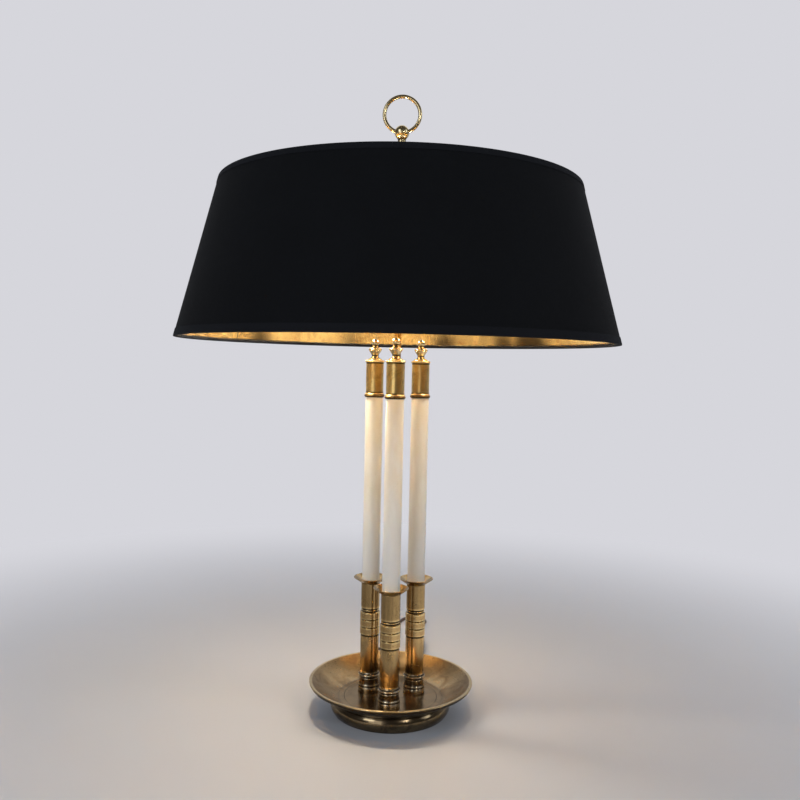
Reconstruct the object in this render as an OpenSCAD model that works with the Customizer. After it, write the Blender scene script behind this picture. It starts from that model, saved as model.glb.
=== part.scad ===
// Bouillotte table lamp: three brass-capped candles on a dish, a rod with a ring handle,
// and a drum shade that slides and turns on the rod. Millimetres, +Z up.
// The origin is on the table, at the middle of the foot. The front candle is at -Y.

/* [Foot and tray] */
// Radius of the foot ring at its widest
foot_r = 70; // [66:1:76]
// Height of the foot ring, from the table to the tray
foot_h = 15; // [14:1:20]
// Wall of the foot ring
foot_wall = 11; // [9:1:13]
// Thickness of the felt under the lamp
felt_t = 1.5; // [1:0.5:2]
// Radius of the tray at its rim
tray_r = 95; // [90:1:110]
// Depth of the dish, from the rim's top to the floor
dish_depth = 19.5; // [14:0.5:26]
// Thickness of the tray's brass
tray_wall = 1.5; // [1:0.1:2.5]
// Width of the flat rim
rim_w = 3.5; // [2.5:0.5:5]
// Height of the rim's edge
rim_h = 4; // [3:0.5:5]

/* [Candle columns] */
// Distance of each column from the rod
trio_r = 31; // [30:1:35]
// Widest radius of a column's turned base
base_r = 12.9; // [11.6:0.1:13.4]
// Height of a column's turned base
base_h = 22.5; // [18:0.5:30]
// Radius of a column's tube
stem_r = 10.9; // [10.5:0.1:11.2]
// Height of the plain tube below the bands
tube_h = 44.7; // [30:0.1:70]
// Number of bands
band_count = 3; // [1:1:4]
// Height of one band
band_h = 9.1; // [6:0.1:12]
// How far a band stands out from the tube
band_out = 0.8; // [0.4:0.05:1.2]
// Height of the neck above the bands
neck_h = 33.6; // [20:0.2:45]
// Radius of the drip pan
pan_r = 20; // [17:0.5:22]
// Height of the drip pan
pan_h = 7; // [5:0.5:9]
// Radius of a candle
candle_r = 10.2; // [9.8:0.1:10.4]
// Length of a candle
candle_len = 219; // [180:1:240]
// Radius of a candle cap's tube
cap_r = 10.3; // [10:0.1:11]
// Height of a candle cap
cap_h = 43.5; // [30:0.5:50]
// How far the cap's lower bead stands out
cap_bead = 1.55; // [0.8:0.05:2]
// Height of a finial
finial_h = 25.3; // [22:0.1:34]
// Widest radius of a finial
finial_r = 7.8; // [6.5:0.1:9]
// Radius of the threaded tie rod in each column
tie_r = 3; // [2.5:0.1:3.4]

/* [Rod and knob] */
// Radius of the centre rod
rod_r = 4; // [3.6:0.1:4.8]
// Radius of the rod's wire way
rod_bore = 2.6; // [2.2:0.1:2.8]
// Height of the rod's top end above the table
rod_top = 655; // [650:1:665]
// Outer radius of the ring handle
ring_r = 22.6; // [18:0.1:26]
// Radius of the ring handle's wire
ring_wire = 2.2; // [1.6:0.1:2.8]
// Radius of the knob's ball
ball_r = 8.4; // [7.6:0.1:9.5]
// Radius of the knob's neck
knob_r = 5; // [5:0.1:6.5]

/* [Shade] */
// Radius of the shade at its lower edge
shade_bot_r = 250; // [235:1:270]
// Radius of the shade at its upper edge
shade_top_r = 204.5; // [190:0.5:220]
// Height of the shade
shade_h = 173; // [155:1:190]
// Height of the shade's lower edge above the table, at rest
shade_z = 429; // [424:1:436]
// Thickness of the shade's fabric on card
shade_t = 1.2; // [0.8:0.1:2]
// Thickness of the gilt lining
lining_t = 0.3; // [0.2:0.05:0.5]
// Thickness of the edge tapes
tape_t = 0.5; // [0.3:0.1:0.8]
// Height of the upper edge tape
top_tape_h = 6; // [4:0.5:10]
// Height of the lower edge tape
low_tape_h = 8; // [5:0.5:12]
// Radius of the shade's ring wires
wire_r = 1.6; // [1.2:0.1:2]
// Radius of a spider arm
arm_r = 2; // [1.5:0.1:2.5]
// Number of spider arms
arm_count = 3; // [2:1:4]
// Drop of the spider's hub below the upper edge
hub_drop = 12; // [9:0.5:16]
// Radius of the spider's hub
hub_r = 18; // [17:0.5:22]
// Thickness of the spider's hub
hub_t = 4; // [3:0.5:6]
// Radius of the sliding carrier's sleeve
sleeve_r = 8; // [7.5:0.1:9]
// Radius of the clamp key's shank
key_r = 2; // [1.6:0.1:2.5]

/* [Lights] */
// Height of the lampholders' crossing point above the table
cluster_z = 478; // [474:1:482]
// Radius of the cluster body
cluster_r = 14; // [13:0.5:16]
// Upward tilt of each lampholder, in degrees
tilt = 15; // [12:1:18]
// Radius of a lampholder
holder_r = 13; // [12:0.5:14.5]
// Length of a lampholder
holder_len = 46; // [42:1:50]
// Radius of a bulb
bulb_r = 22.5; // [18:0.5:24]
// Thickness of a bulb's glass
glass_t = 0.9; // [0.7:0.1:1.2]

/* [Cord] */
// Diameter of the cord
cord_d = 4.4; // [4.2:0.1:4.6]
// Radius of the wires inside the lamp
flex_r = 1.5; // [1.2:0.1:1.8]
// Width of the plug
plug_w = 35; // [32:0.5:36]
// Thickness of the plug
plug_t = 13.8; // [12.5:0.1:14]
// Length of the plug's body
plug_len = 35; // [30:1:38]
// Width of the inline switch
switch_w = 22; // [20:0.5:24]
// Length of the inline switch
switch_len = 56; // [50:1:60]
// Height of the inline switch's two halves together
switch_h = 16; // [15:0.5:18]

/* [Hidden] */
$fn = 96;

fit = 0.05;       // radial clearance of a fixed or running fit
seat = 0.3;       // clearance between faces that move past each other
eps = 1;          // how far a cut runs past the face that it opens
arc_n = 8;        // segments of a turned curve

// The cord's route, from the bush to the coil and from the coil to the plug.
cord_r = cord_d / 2;
lead_route = [
    [-42, 84, 6.5], [-46, 92, 6.5], [-51.5, 107, 4.4], [-54.5, 123, 2.3], [-54, 143, 2.3],
    [-50, 162, 2.3], [-43, 176.5, 2.3], [-34.5, 187, 2.3], [-25.5, 197, 2.3], [-18.5, 211, 2.3],
    [-14.5, 229, 2.3], [-13, 250, 2.3], [-12, 272, 2.3], [-10.5, 292, 2.3], [-8, 309, 2.3],
    [-4.2, 323, 2.3], [0.1, 334.7, 2.3], [4.3, 341.4, 2.3], [10.8, 345.6, 2.3], [18.6, 346.4, 2.3],
    [26.2, 343.9, 2.3], [32, 338.3, 2.3], [34.9, 330.9, 2.3], [34.6, 323.1, 2.3], [31.4, 315.9, 2.3],
    [27.9, 308, 2.3], [26, 299, 2.3], [25.2, 287, 2.3], [25, 272, 2.6], [25, 254, 4.6],
    [25, 236, 7], [25, 176, 7], [25.3, 166, 5.4], [28.9, 156, 3.3], [35.5, 150.7, 2.4],
    [44, 148.8, 2.3]];
end_route = [
    [7, 116, 6.6], [7, 140, 5.2], [7, 163, 2.8], [3.7, 177.3, 2.3], [-5, 183.7, 2.3],
    [-16, 183.7, 3], [-24.7, 177.5, 4.9], [-28, 167, 6.9], [-28, 161, 6.9]];
coil_x = 40;      // middle of the coil
coil_y = 116;
coil_mid = 6 * cord_d;                       // middle radius of the coil's turns
coil_side = 4;                               // turns beside each other
coil_high = 2;                               // layers
cord_a = atan2(lead_route[0][1], lead_route[0][0]);
cord_exit = norm([lead_route[0][0], lead_route[0][1]]);
cord_z = lead_route[0][2];

// Foot and tray
ledge_t = 3;                                 // ledge that the tray is seated on
ledge_w = 6;
foot_in = foot_r - foot_wall;
bulge = 3;                                   // rounding of the foot's outside
tray_z = foot_h + tray_wall;                 // floor of the dish
flat_r = foot_in + 1;                        // flat part of the dish
line_in = 6;                                 // turned line inside the flat part
rim_z = tray_z + dish_depth;

// Candle columns
tie_hole = tie_r + fit;
stem_z = tray_z + base_h;
band_z = stem_z + tube_h;
neck_z = band_z + band_count * band_h;
pan_z = neck_z + neck_h;
pan_floor = 1;
candle_z = pan_z + pan_floor;
candle_wall = 1.2;
cap_z = candle_z + candle_len;
cap_wall = 1.3;
finial_z = cap_z + cap_h;
tie_in = 9;                                  // thread inside the finial
nut_h = 4;
nut_r = 5.8;
washer_t = 1;
washer_r = 6.4;
tail = 1;                                    // thread left below a nut
tie_z = foot_h - washer_t - nut_h - tail;
trio = [for (i = [1:3]) [trio_r * cos(120 * i + 150), trio_r * sin(120 * i + 150), 0]];

// Rod and knob
rod_nut_r = 8;
collar_r = 9;
collar_h = 6;
neck_len = 15;                               // knob below its flare
knob_z = rod_top - neck_len;
ball_z = rod_top + 12.5;
ring_mid = ring_r - ring_wire;
ring_z = ball_z + ring_mid;

// Shade
shade_top = shade_z + shade_h;
function cone_r(z) = shade_bot_r + (shade_top_r - shade_bot_r) * (z - shade_z) / shade_h;
shell_in = tape_t + shade_t;                 // inside of the shell, in from the tapes
lining_out = shell_in + fit;
lining_in = lining_out + lining_t;
wire_up = wire_r + 0.6;                      // ring wires, in from the shade's edges
wire_gap = lining_in + wire_r * 1.1 + 0.1;
wire_low_r = cone_r(shade_z + wire_up) - wire_gap;
wire_top_r = cone_r(shade_top - wire_up) - wire_gap;
hub_z = shade_top - hub_drop - hub_t / 2;
flange_r = hub_r - 2;
flange_t = 3;
flange_z = hub_z - seat - flange_t;
sleeve_low = hub_z - 24;
lock_h = 6;
lock_r = 13;
lock_z = hub_z + hub_t + seat;
sleeve_top = lock_z + lock_h + 1;
key_z = hub_z - 14;
boss_r = key_r + 3;
boss_end = sleeve_r + 6;
key_a = 45;

// Lights
cluster_low = 12;                            // cluster body below and above its crossing point
cluster_up = 12;
cap_up = 8;
stub_r = 5;
stub_end = cluster_r + 10;
holder_wall = 2.5;
cup_depth = 28;                              // depth of a lampholder's cup
holder_back = holder_len - cup_depth;        // its solid back
base_len = cup_depth - 3;                    // a bulb's screw cap in the cup
base_end = stub_end + holder_back + fit;
screw_r = 6.9;
bulb_neck = 9;
glass_start = base_end + base_len;
glass_mid = glass_start + bulb_r + 4;

// Cord pieces
bush_tip = cord_r + 0.9;
bush_r = 5;
plug_x = end_route[len(end_route) - 1][0];
relief_y = end_route[len(end_route) - 1][1];
plug_z = plug_t / 2;
relief_len = 18;
plug_front = relief_y - relief_len - plug_len;
pin_r = 2;
pin_len = 19;
pin_gap = 9.5;                               // half the distance between the pins
switch_x = 25;
switch_y = 206;
switch_z = 7;                                // the two halves meet at the cord's height
rocker_w = 8;
rocker_len = 15;
rocker_z = switch_h - 2.5;                   // rocker's pin
rocker_on = 9;                               // tilt of the rocker, switched on
rocker_pin = 1;
screw_hole = 1.25;
screw_bite = 2.5;                            // screw inside the cover

module at_trio() {
    for (spot = trio) translate(spot) children();
}

module tube(outer, inner, h) {
    difference() {
        cylinder(r = outer, h = h);
        translate([0, 0, -eps]) cylinder(r = inner, h = h + 2 * eps);
    }
}

module turned(points) {
    rotate_extrude() polygon(points);
}

function bump(r, out, z0, z1) =              // a rounded bead from z0 to z1
    [for (i = [0:arc_n]) let (t = 2 * i / arc_n - 1) [r + out * (1 - t * t), z0 + (z1 - z0) * i / arc_n]];

function ball_arc(r, z, a0, a1) =
    [for (i = [0:arc_n]) let (a = a0 + (a1 - a0) * i / arc_n) [r * cos(a), z + r * sin(a)]];

// ---- foot and tray

module foot_ring() {
    color([0.36, 0.28, 0.16])
    difference() {
        turned(concat(
            [[foot_in, 0], [foot_r - bulge - 0.6, 0], [foot_r - bulge - 0.2, 0.4]],
            bump(foot_r - bulge, bulge, 0.8, foot_h),
            [[foot_in - ledge_w, foot_h], [foot_in - ledge_w, foot_h - ledge_t],
             [foot_in, foot_h - ledge_t]]));
        rotate([0, 0, cord_a]) translate([foot_in - eps, 0, cord_z])
            rotate([0, 90, 0]) cylinder(r = bush_r + fit, h = foot_wall + 2 * eps);
    }
}

module weight_ring() {
    weight_h = foot_h - ledge_t - felt_t - seat;
    color([0.2, 0.2, 0.2])
    difference() {
        translate([0, 0, felt_t]) tube(foot_in - seat, trio_r + nut_r + 2, weight_h);
        rotate([0, 0, cord_a]) translate([0, 0, cord_z])
            rotate([0, 90, 0]) cylinder(r = bush_r + seat, h = foot_in + eps);
    }
}

module felt_pad() {
    color([0.2, 0.3, 0.2]) cylinder(r = foot_in - seat, h = felt_t);
}

module tray() {
    inner = tray_r - rim_w;
    steps = 12;
    curve = [for (i = [0:steps]) let (t = i / steps)
        [flat_r + (inner - flat_r) * t, tray_z + dish_depth * pow(t, 1.5)]];
    under = [for (i = [steps - 1:-1:0]) let (t = i / steps) curve[i] - [0, tray_wall * (1 + 0.4 * t)]];
    line_r = flat_r - line_in;
    color([0.55, 0.43, 0.25])
    difference() {
        turned(concat(
            [[rod_r + fit, foot_h], [rod_r + fit, tray_z], [line_r - 0.4, tray_z], [line_r, tray_z - 0.3],
             [line_r + 0.4, tray_z]],
            curve,
            [[inner + 0.5, rim_z + 0.3], [tray_r - 0.8, rim_z + 0.3], [tray_r, rim_z - 0.5],
             [tray_r, rim_z - 1], [tray_r - 1.6, rim_z - rim_h], [inner + 0.4, rim_z - rim_h]],
            under));
        at_trio() translate([0, 0, foot_h - eps]) cylinder(r = tie_hole, h = tray_wall + 2 * eps);
    }
}

// ---- candle columns, one at each place of the trio

module column_base(i) {
    s = base_h / 22.5;                       // the turned profile keeps its proportions in height
    color([0.42, 0.32, 0.17]) translate(trio[i - 1] + [0, 0, tray_z])
        turned(concat(
            [[tie_hole, 0], [base_r - 0.9, 0], [base_r - 0.6, 0.6 * s]],
            bump(base_r - 0.6, 0.6, s, 5.6 * s),
            bump(base_r - 1, 0.5, 6.2 * s, 8.8 * s),
            [[base_r - 1.5, 10.4 * s], [base_r - 1.7, 12.4 * s], [base_r - 1.6, 14.4 * s]],
            bump(base_r - 1.6, 0.4, 14.8 * s, 16.2 * s),
            [[base_r - 1.4, 17 * s], [base_r - 0.7, 18.1 * s], [base_r - 0.1, 18.7 * s],
             [base_r, 19.2 * s], [base_r - 0.3, 19.7 * s], [base_r - 1.2, 20.4 * s],
             [base_r - 1.7, 21.3 * s], [base_r - 1.9, 22.5 * s], [tie_hole, 22.5 * s]]));
}

module column_stem(i) {
    band_r = stem_r + band_out;
    bands = [for (k = [0:band_count - 1], p = [[-1, 0], [0, 0.7], [0, band_h - 0.7], [-1, band_h]])
        [band_r + p[0], k * band_h + p[1] + tube_h]];
    top = tube_h + band_count * band_h;      // above the bands, a ring between two grooves
    color([0.62, 0.5, 0.3]) translate(trio[i - 1] + [0, 0, stem_z])
        turned(concat(
            [[tie_hole, 0], [stem_r, 0], [stem_r, tube_h]], bands,
            [[stem_r - 0.9, top + 0.3], [stem_r - 0.9, top + 1.4], [stem_r - 0.1, top + 1.8],
             [stem_r - 0.1, top + 2.5], [stem_r - 0.9, top + 2.9], [stem_r - 0.9, top + 3.9],
             [stem_r, top + 4.4], [stem_r, top + neck_h], [tie_hole, top + neck_h]]));
}

module drip_pan(i) {
    color([0.66, 0.53, 0.32]) translate(trio[i - 1] + [0, 0, pan_z])
        turned([
            [tie_hole, 0], [stem_r, 0], [pan_r - 0.4, pan_h - 1], [pan_r, pan_h - 0.6], [pan_r, pan_h - 0.2],
            [pan_r - 0.3, pan_h], [pan_r - 0.9, pan_h], [candle_r + 0.3, pan_floor + 0.7],
            [candle_r + 0.3, pan_floor], [tie_hole, pan_floor]]);
}

module candle(i) {
    color([0.93, 0.9, 0.8]) translate(trio[i - 1] + [0, 0, candle_z])
        tube(candle_r, candle_r - candle_wall, candle_len);
}

module candle_cap(i) {
    inner = min(candle_r, cap_r) - candle_wall;
    color([0.7, 0.52, 0.25]) translate(trio[i - 1] + [0, 0, cap_z])
        turned(concat(
            [[inner, 0], [cap_r + 0.6, 0]],
            bump(cap_r + 0.6, cap_bead - 0.6, 0.2, 3.4),
            [[cap_r + 0.7, 3.8], [cap_r + 0.7, 4.4], [cap_r, 5], [cap_r, cap_h - 3],
             [cap_r + 0.9, cap_h - 2.6], [cap_r + 1, cap_h - 1.4], [cap_r - 0.3, cap_h - 0.4],
             [cap_r - 1, cap_h], [tie_hole, cap_h], [tie_hole, cap_h - 2 * cap_wall],
             [inner, cap_h - 2 * cap_wall]]));
}

module finial(i) {
    s = finial_h / 27.3;                     // the turned profile keeps its proportions in height
    top_r = 4.75;
    top_z = finial_h - top_r;
    waist = finial_r / 2;
    color([0.75, 0.62, 0.36]) translate(trio[i - 1] + [0, 0, finial_z])
    difference() {
        turned(concat(
            [[0, 0], [finial_r + 0.2, 0], [finial_r + 0.2, 0.9 * s], [finial_r - 1, 1.6 * s],
             [waist + 1.4, 2.4 * s], [waist + 0.4, 3.4 * s], [waist, 4.6 * s], [waist + 0.1, 5.8 * s],
             [waist + 1, 7.6 * s], [finial_r - 1.5, 10 * s], [finial_r - 0.4, 11.8 * s],
             [finial_r - 0.6, 12.1 * s],
             [finial_r, 12.6 * s], [finial_r, 13.7 * s], [finial_r - 0.6, 14 * s], [finial_r - 1, 14.6 * s],
             [finial_r - 2.6, 15.6 * s], [waist - 0.3, 16.8 * s]],
            ball_arc(top_r, top_z, -44, 90)));
        translate([0, 0, -eps]) cylinder(r = tie_hole - 2 * fit, h = tie_in + eps + fit);
    }
}

module tie_rods() {
    color([0.6, 0.6, 0.6]) at_trio() {
        translate([0, 0, tie_z]) cylinder(r = tie_r, h = cap_z + cap_h - fit - tie_z);
        translate([0, 0, finial_z - 2 * fit]) cylinder(r = tie_r - 2 * fit, h = tie_in);
    }
}

module tie_nuts() {
    color([0.6, 0.6, 0.6]) at_trio() translate([0, 0, tie_z + tail])
    difference() {
        cylinder(r = nut_r, h = nut_h, $fn = 6);
        translate([0, 0, -eps]) cylinder(r = tie_hole, h = nut_h + 2 * eps);
    }
}

module tie_washers() {
    color([0.55, 0.55, 0.55]) at_trio()
        translate([0, 0, foot_h - washer_t]) tube(washer_r, tie_hole, washer_t);
}

// ---- centre rod and knob

module centre_rod() {
    color([0.62, 0.47, 0.25]) translate([0, 0, tie_z]) tube(rod_r, rod_bore, rod_top - tie_z);
}

module rod_nut() {
    color([0.6, 0.6, 0.6]) translate([0, 0, tie_z + tail])
    difference() {
        cylinder(r = rod_nut_r, h = nut_h + washer_t, $fn = 6);
        translate([0, 0, -eps]) cylinder(r = rod_r + fit, h = nut_h + washer_t + 2 * eps);
    }
}

module rod_collar() {
    color([0.55, 0.43, 0.22]) translate([0, 0, tray_z])
        turned(concat(
            [[rod_r + fit, 0], [collar_r, 0], [collar_r, 1.5]],
            bump(collar_r - 2, 1, 2, collar_h - 1),
            [[collar_r - 3, collar_h], [rod_r + fit, collar_h]]));
}

module knob() {
    flare = ball_z - 7;
    color([0.75, 0.6, 0.33])
    difference() {
        turned(concat(
            [[0, knob_z], [knob_r + 2, knob_z], [knob_r + 2, knob_z + 2], [knob_r + 0.6, knob_z + 3],
             [knob_r, knob_z + 4], [knob_r - 0.4, flare - 1], [knob_r + 0.4, flare + 0.4]],
            ball_arc(ball_r, ball_z, -48, 90)));
        translate([0, 0, knob_z - eps]) cylinder(r = rod_r + fit, h = rod_top - knob_z + eps + fit);
        ring_body(fit);
    }
}

module ring_body(more) {
    translate([0, 0, ring_z]) rotate([90, 0, 0])
        rotate_extrude() translate([ring_mid, 0]) circle(r = ring_wire + more);
}

module ring_handle() {
    color([0.72, 0.58, 0.33]) ring_body(0);
}

// ---- lights under the shade

module tilted(side) {                        // +1 is right, -1 is left
    translate([0, 0, cluster_z]) rotate([0, 90 - side * tilt - (side < 0 ? 180 : 0), 0]) children();
}

module cluster_body() {
    color([0.6, 0.47, 0.25])
    difference() {
        union() {
            translate([0, 0, cluster_z - cluster_low]) cylinder(r = cluster_r, h = cluster_low + cluster_up);
            for (side = [-1, 1]) tilted(side) cylinder(r = stub_r, h = stub_end);
        }
        translate([0, 0, cluster_z - cluster_low - eps])
            cylinder(r = rod_r + fit, h = cluster_low + cluster_up + 2 * eps);
        translate([0, 0, cluster_z - cluster_low / 2]) rotate([90, 0, 0])
            cylinder(r = key_r + fit, h = cluster_r + eps);
    }
}

module cluster_cap() {
    color([0.6, 0.47, 0.25]) translate([0, 0, cluster_z + cluster_up])
        turned([
            [rod_r + fit, 0], [cluster_r, 0], [cluster_r, 1.5], [cluster_r - 2, 3.5],
            [rod_r + 4, cap_up - 1], [rod_r + 3, cap_up], [rod_r + fit, cap_up]]);
}

module cluster_screw() {
    start = rod_r + fit;
    color([0.55, 0.45, 0.25]) translate([0, -start, cluster_z - cluster_low / 2])
        rotate([90, 0, 0]) {
            cylinder(r = key_r, h = cluster_r - start + 2);
            translate([0, 0, cluster_r - start + 1]) cylinder(r = key_r + 2, h = 2);
        }
}

module lampholder(side) {
    color([0.12, 0.1, 0.09]) tilted(side)
    difference() {
        translate([0, 0, stub_end]) turned(concat(
            [[0, 0], [stub_r + 2, 0], [holder_r - 2, 3], [holder_r, 8], [holder_r, holder_len - 12]],
            bump(holder_r, 1, holder_len - 12, holder_len - 9),
            [[holder_r, holder_len - 8], [holder_r, holder_len], [0, holder_len]]));
        translate([0, 0, stub_end + holder_back])
            cylinder(r = holder_r - holder_wall, h = holder_len);
    }
}

module bulb_form(less) {
    turned(concat(
        [[0, glass_start + less], [bulb_neck - less, glass_start + less],
         [bulb_neck - less, glass_start + 1], [bulb_neck + 1.5 - less, glass_start + 4]],
        ball_arc(bulb_r - less, glass_mid, -55, 90)));
}

module bulb(side) {
    color([0.98, 0.93, 0.8]) tilted(side)
    difference() {
        bulb_form(0);
        bulb_form(glass_t);
    }
}

module bulb_bases() {
    color([0.75, 0.72, 0.66])
        for (side = [-1, 1]) tilted(side) translate([0, 0, base_end]) {
            cylinder(r = screw_r - 2.5, h = 3);
            translate([0, 0, 2.5]) cylinder(r = screw_r, h = base_len - 2.5);
        }
}

module inner_flex() {
    bend = 2.5;
    rotate([0, 0, cord_a]) color([0.5, 0.4, 0.3]) {
        translate([0, 0, cord_z + bend]) cylinder(r = flex_r, h = cluster_z - cord_z - bend);
        translate([bend, 0, cord_z + bend]) rotate([90, 0, 0])
            rotate_extrude(start = 180, angle = 90) translate([bend, 0]) circle(r = flex_r);
        translate([bend, 0, cord_z]) rotate([0, 90, 0]) cylinder(r = flex_r, h = foot_in - fit - bend);
    }
}

// ---- sliding carrier and clamp key

module shade_carrier() {
    color([0.66, 0.52, 0.28])
    difference() {
        union() {
            translate([0, 0, sleeve_low]) cylinder(r = sleeve_r, h = sleeve_top - sleeve_low);
            translate([0, 0, flange_z]) cylinder(r = flange_r, h = flange_t);
            rotate([0, 0, key_a]) translate([0, 0, key_z]) rotate([0, 90, 0])
                cylinder(r = boss_r, h = boss_end);
        }
        translate([0, 0, sleeve_low - eps])
            cylinder(r = rod_r + fit, h = sleeve_top - sleeve_low + 2 * eps);
        rotate([0, 0, key_a]) translate([0, 0, key_z]) rotate([0, 90, 0])
            cylinder(r = key_r + fit, h = boss_end + eps);
    }
}

module lock_ring() {
    color([0.66, 0.52, 0.28]) translate([0, 0, lock_z]) tube(lock_r, sleeve_r + fit, lock_h);
}

module clamp_key() {
    tip = rod_r + seat;
    head = boss_end + 2;
    wing = 8;
    color([0.7, 0.56, 0.3]) rotate([0, 0, key_a]) translate([0, 0, key_z]) rotate([0, 90, 0]) {
        translate([0, 0, tip]) cylinder(r = key_r, h = head - tip);
        translate([0, 0, boss_end + seat]) cylinder(r = key_r + 1.5, h = head - boss_end);
        translate([0, 1.5, head + wing - 1]) rotate([90, 0, 0]) cylinder(r = wing, h = 3);
    }
}

// ---- shade

module cone_shell(low, high, outer, inner) {
    turned([
        [cone_r(low) - outer, low], [cone_r(high) - outer, high],
        [cone_r(high) - inner, high], [cone_r(low) - inner, low]]);
}

module shade_shell() {
    color([0.08, 0.085, 0.1]) cone_shell(shade_z, shade_top, tape_t, shell_in);
}

module shade_lining() {
    color([0.75, 0.55, 0.2]) cone_shell(shade_z + fit, shade_top - fit, lining_out, lining_in);
}

module shade_tapes() {
    color([0.1, 0.1, 0.12]) {
        cone_shell(shade_z, shade_z + low_tape_h, 0, tape_t - fit);
        cone_shell(shade_top - top_tape_h, shade_top, 0, tape_t - fit);
    }
}

module shade_wires() {
    color([0.15, 0.15, 0.16]) {
        translate([0, 0, shade_z + wire_up])
            rotate_extrude() translate([wire_low_r, 0]) circle(r = wire_r);
        translate([0, 0, shade_top - wire_up])
            rotate_extrude() translate([wire_top_r, 0]) circle(r = wire_r);
    }
}

module spider_hub() {
    color([0.6, 0.48, 0.26]) translate([0, 0, hub_z]) tube(hub_r, sleeve_r + 1.5 * fit, hub_t);
}

module spider_arms() {
    low = hub_z + hub_t / 2;
    rise = shade_top - wire_up - low;
    run = wire_top_r - wire_r - fit - hub_r - fit;
    color([0.6, 0.48, 0.26])
        for (i = [1:arm_count]) rotate([0, 0, 360 / arm_count * i + 90])
            translate([hub_r + fit + arm_r * rise / run, 0, low]) rotate([0, atan2(run, rise), 0])
                cylinder(r = arm_r, h = norm([run, rise]) - 2 * arm_r * rise / run);
}

// ---- cord, plug and inline switch

function along(route, i) =                   // direction of a route at point i
    let (a = route[max(i - 1, 0)], b = route[min(i + 1, len(route) - 1)]) (b - a) / norm(b - a);

function ring_at(route, i, r, sides) =
    let (d = along(route, i), side = cross([0, 0, 1], d), u = side / norm(side), v = cross(d, u))
    [for (k = [0:sides - 1]) let (a = 360 * (k + 0.5) / sides) route[i] + r * (cos(a) * u + sin(a) * v)];

module swept(route, r, sides = 8) {
    n = len(route);
    points = [for (i = [0:n - 1], p = ring_at(route, i, r, sides)) p];
    walls = [for (i = [0:n - 2], k = [0:sides - 1])
        let (a = i * sides + k, b = i * sides + (k + 1) % sides) [a, a + sides, b + sides, b]];
    first = [for (k = [0:sides - 1]) k];
    last = [for (k = [sides - 1:-1:0]) (n - 1) * sides + k];
    polyhedron(points = points, faces = concat([first], walls, [last]), convexity = 10);
}

module cord_bush() {
    outside = foot_r + fit;
    color([0.12, 0.1, 0.08]) rotate([0, 0, cord_a]) translate([0, 0, cord_z]) rotate([0, 90, 0])
        turned([
            [0, foot_in + fit], [bush_r, foot_in + fit], [bush_r, outside], [bush_r + 1, outside],
            [bush_r + 1, outside + 1.2], [bush_r - 0.6, outside + 2.2], [bush_tip, cord_exit - 1],
            [bush_tip - 0.5, cord_exit], [0, cord_exit]]);
}

module cord_lead() {
    color([0.16, 0.11, 0.08]) swept(lead_route, cord_r);
}

module cord_end() {
    color([0.16, 0.11, 0.08]) swept(end_route, cord_r);
}

module cord_coil() {
    color([0.16, 0.11, 0.08]) translate([coil_x, coil_y, 0])
        tube(coil_mid + coil_side * cord_r, coil_mid - coil_side * cord_r, coil_high * cord_d);
}

module plug_body() {
    half = plug_w / 2;
    thick = plug_t / 2;
    shoulder = plug_front + plug_len * 0.3;
    neck = plug_front + plug_len;
    color([0.13, 0.09, 0.07]) translate([plug_x, 0, plug_z]) {
        difference() {
            translate([0, 0, -thick]) linear_extrude(plug_t)
                polygon([
                    [-half, plug_front], [half, plug_front], [half, shoulder], [half - 9, neck],
                    [9 - half, neck], [-half, shoulder]]);
            for (side = [-1, 1]) translate([side * pin_gap, plug_front - eps, 0]) rotate([-90, 0, 0])
                cylinder(r = pin_r + fit, h = 6 + eps);
        }
        translate([0, relief_y, 0]) rotate([90, 0, 0])
            turned([
                [0, 0], [cord_r + 0.3, 0], [cord_r + 0.8, 1], [thick - 1.4, relief_len + 1],
                [0, relief_len + 1]]);
    }
}

module plug_pins() {
    color([0.75, 0.72, 0.6])
        for (side = [-1, 1]) translate([plug_x + side * pin_gap, plug_front - pin_len, plug_z])
            rotate([-90, 0, 0]) {
                cylinder(r1 = pin_r - 0.7, r2 = pin_r, h = 1.5);
                translate([0, 0, 1.5]) cylinder(r = pin_r, h = pin_len + 4);
            }
}

module switch_outline(h) {                   // an oblong whose corners are cut off
    x = switch_w / 2;
    y = switch_len / 2;
    linear_extrude(h) polygon([
        [-x, 6 - y], [6 - x, -y], [x - 6, -y], [x, 6 - y], [x, y - 6], [x - 6, y], [6 - x, y], [-x, y - 6]]);
}

module at_switch_screws() {
    for (side = [-1, 1])
        translate([side * (switch_w / 2 - 3.5), side * (switch_len / 2 - 10), 0]) children();
}

module switch_way(r) {
    translate([0, 0, switch_z]) rotate([90, 0, 0])
        translate([0, 0, -switch_len]) cylinder(r = r, h = 2 * switch_len);
}

module switch_base() {
    color([0.14, 0.1, 0.08]) translate([switch_x, switch_y, 0])
    difference() {
        switch_outline(switch_z);
        switch_way(cord_r + 3 * fit);
        at_switch_screws() translate([0, 0, -eps]) cylinder(r = screw_hole, h = switch_z + 2 * eps);
    }
}

module switch_cover() {
    color([0.14, 0.1, 0.08]) translate([switch_x, switch_y, 0])
    difference() {
        translate([0, 0, switch_z]) switch_outline(switch_h - switch_z);
        switch_way(cord_r + 3 * fit);
        translate([-rocker_w / 2 - seat, -rocker_len / 2 - 1, switch_z])
            cube([rocker_w + 2 * seat, rocker_len + 2, switch_h]);
        translate([-rocker_w / 2 - 2, 0, rocker_z]) rotate([0, 90, 0])
            cylinder(r = rocker_pin + fit, h = rocker_w + 4);
        at_switch_screws() translate([0, 0, switch_z - eps])
            cylinder(r = screw_hole, h = screw_bite + 2 * eps);
    }
}

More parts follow.
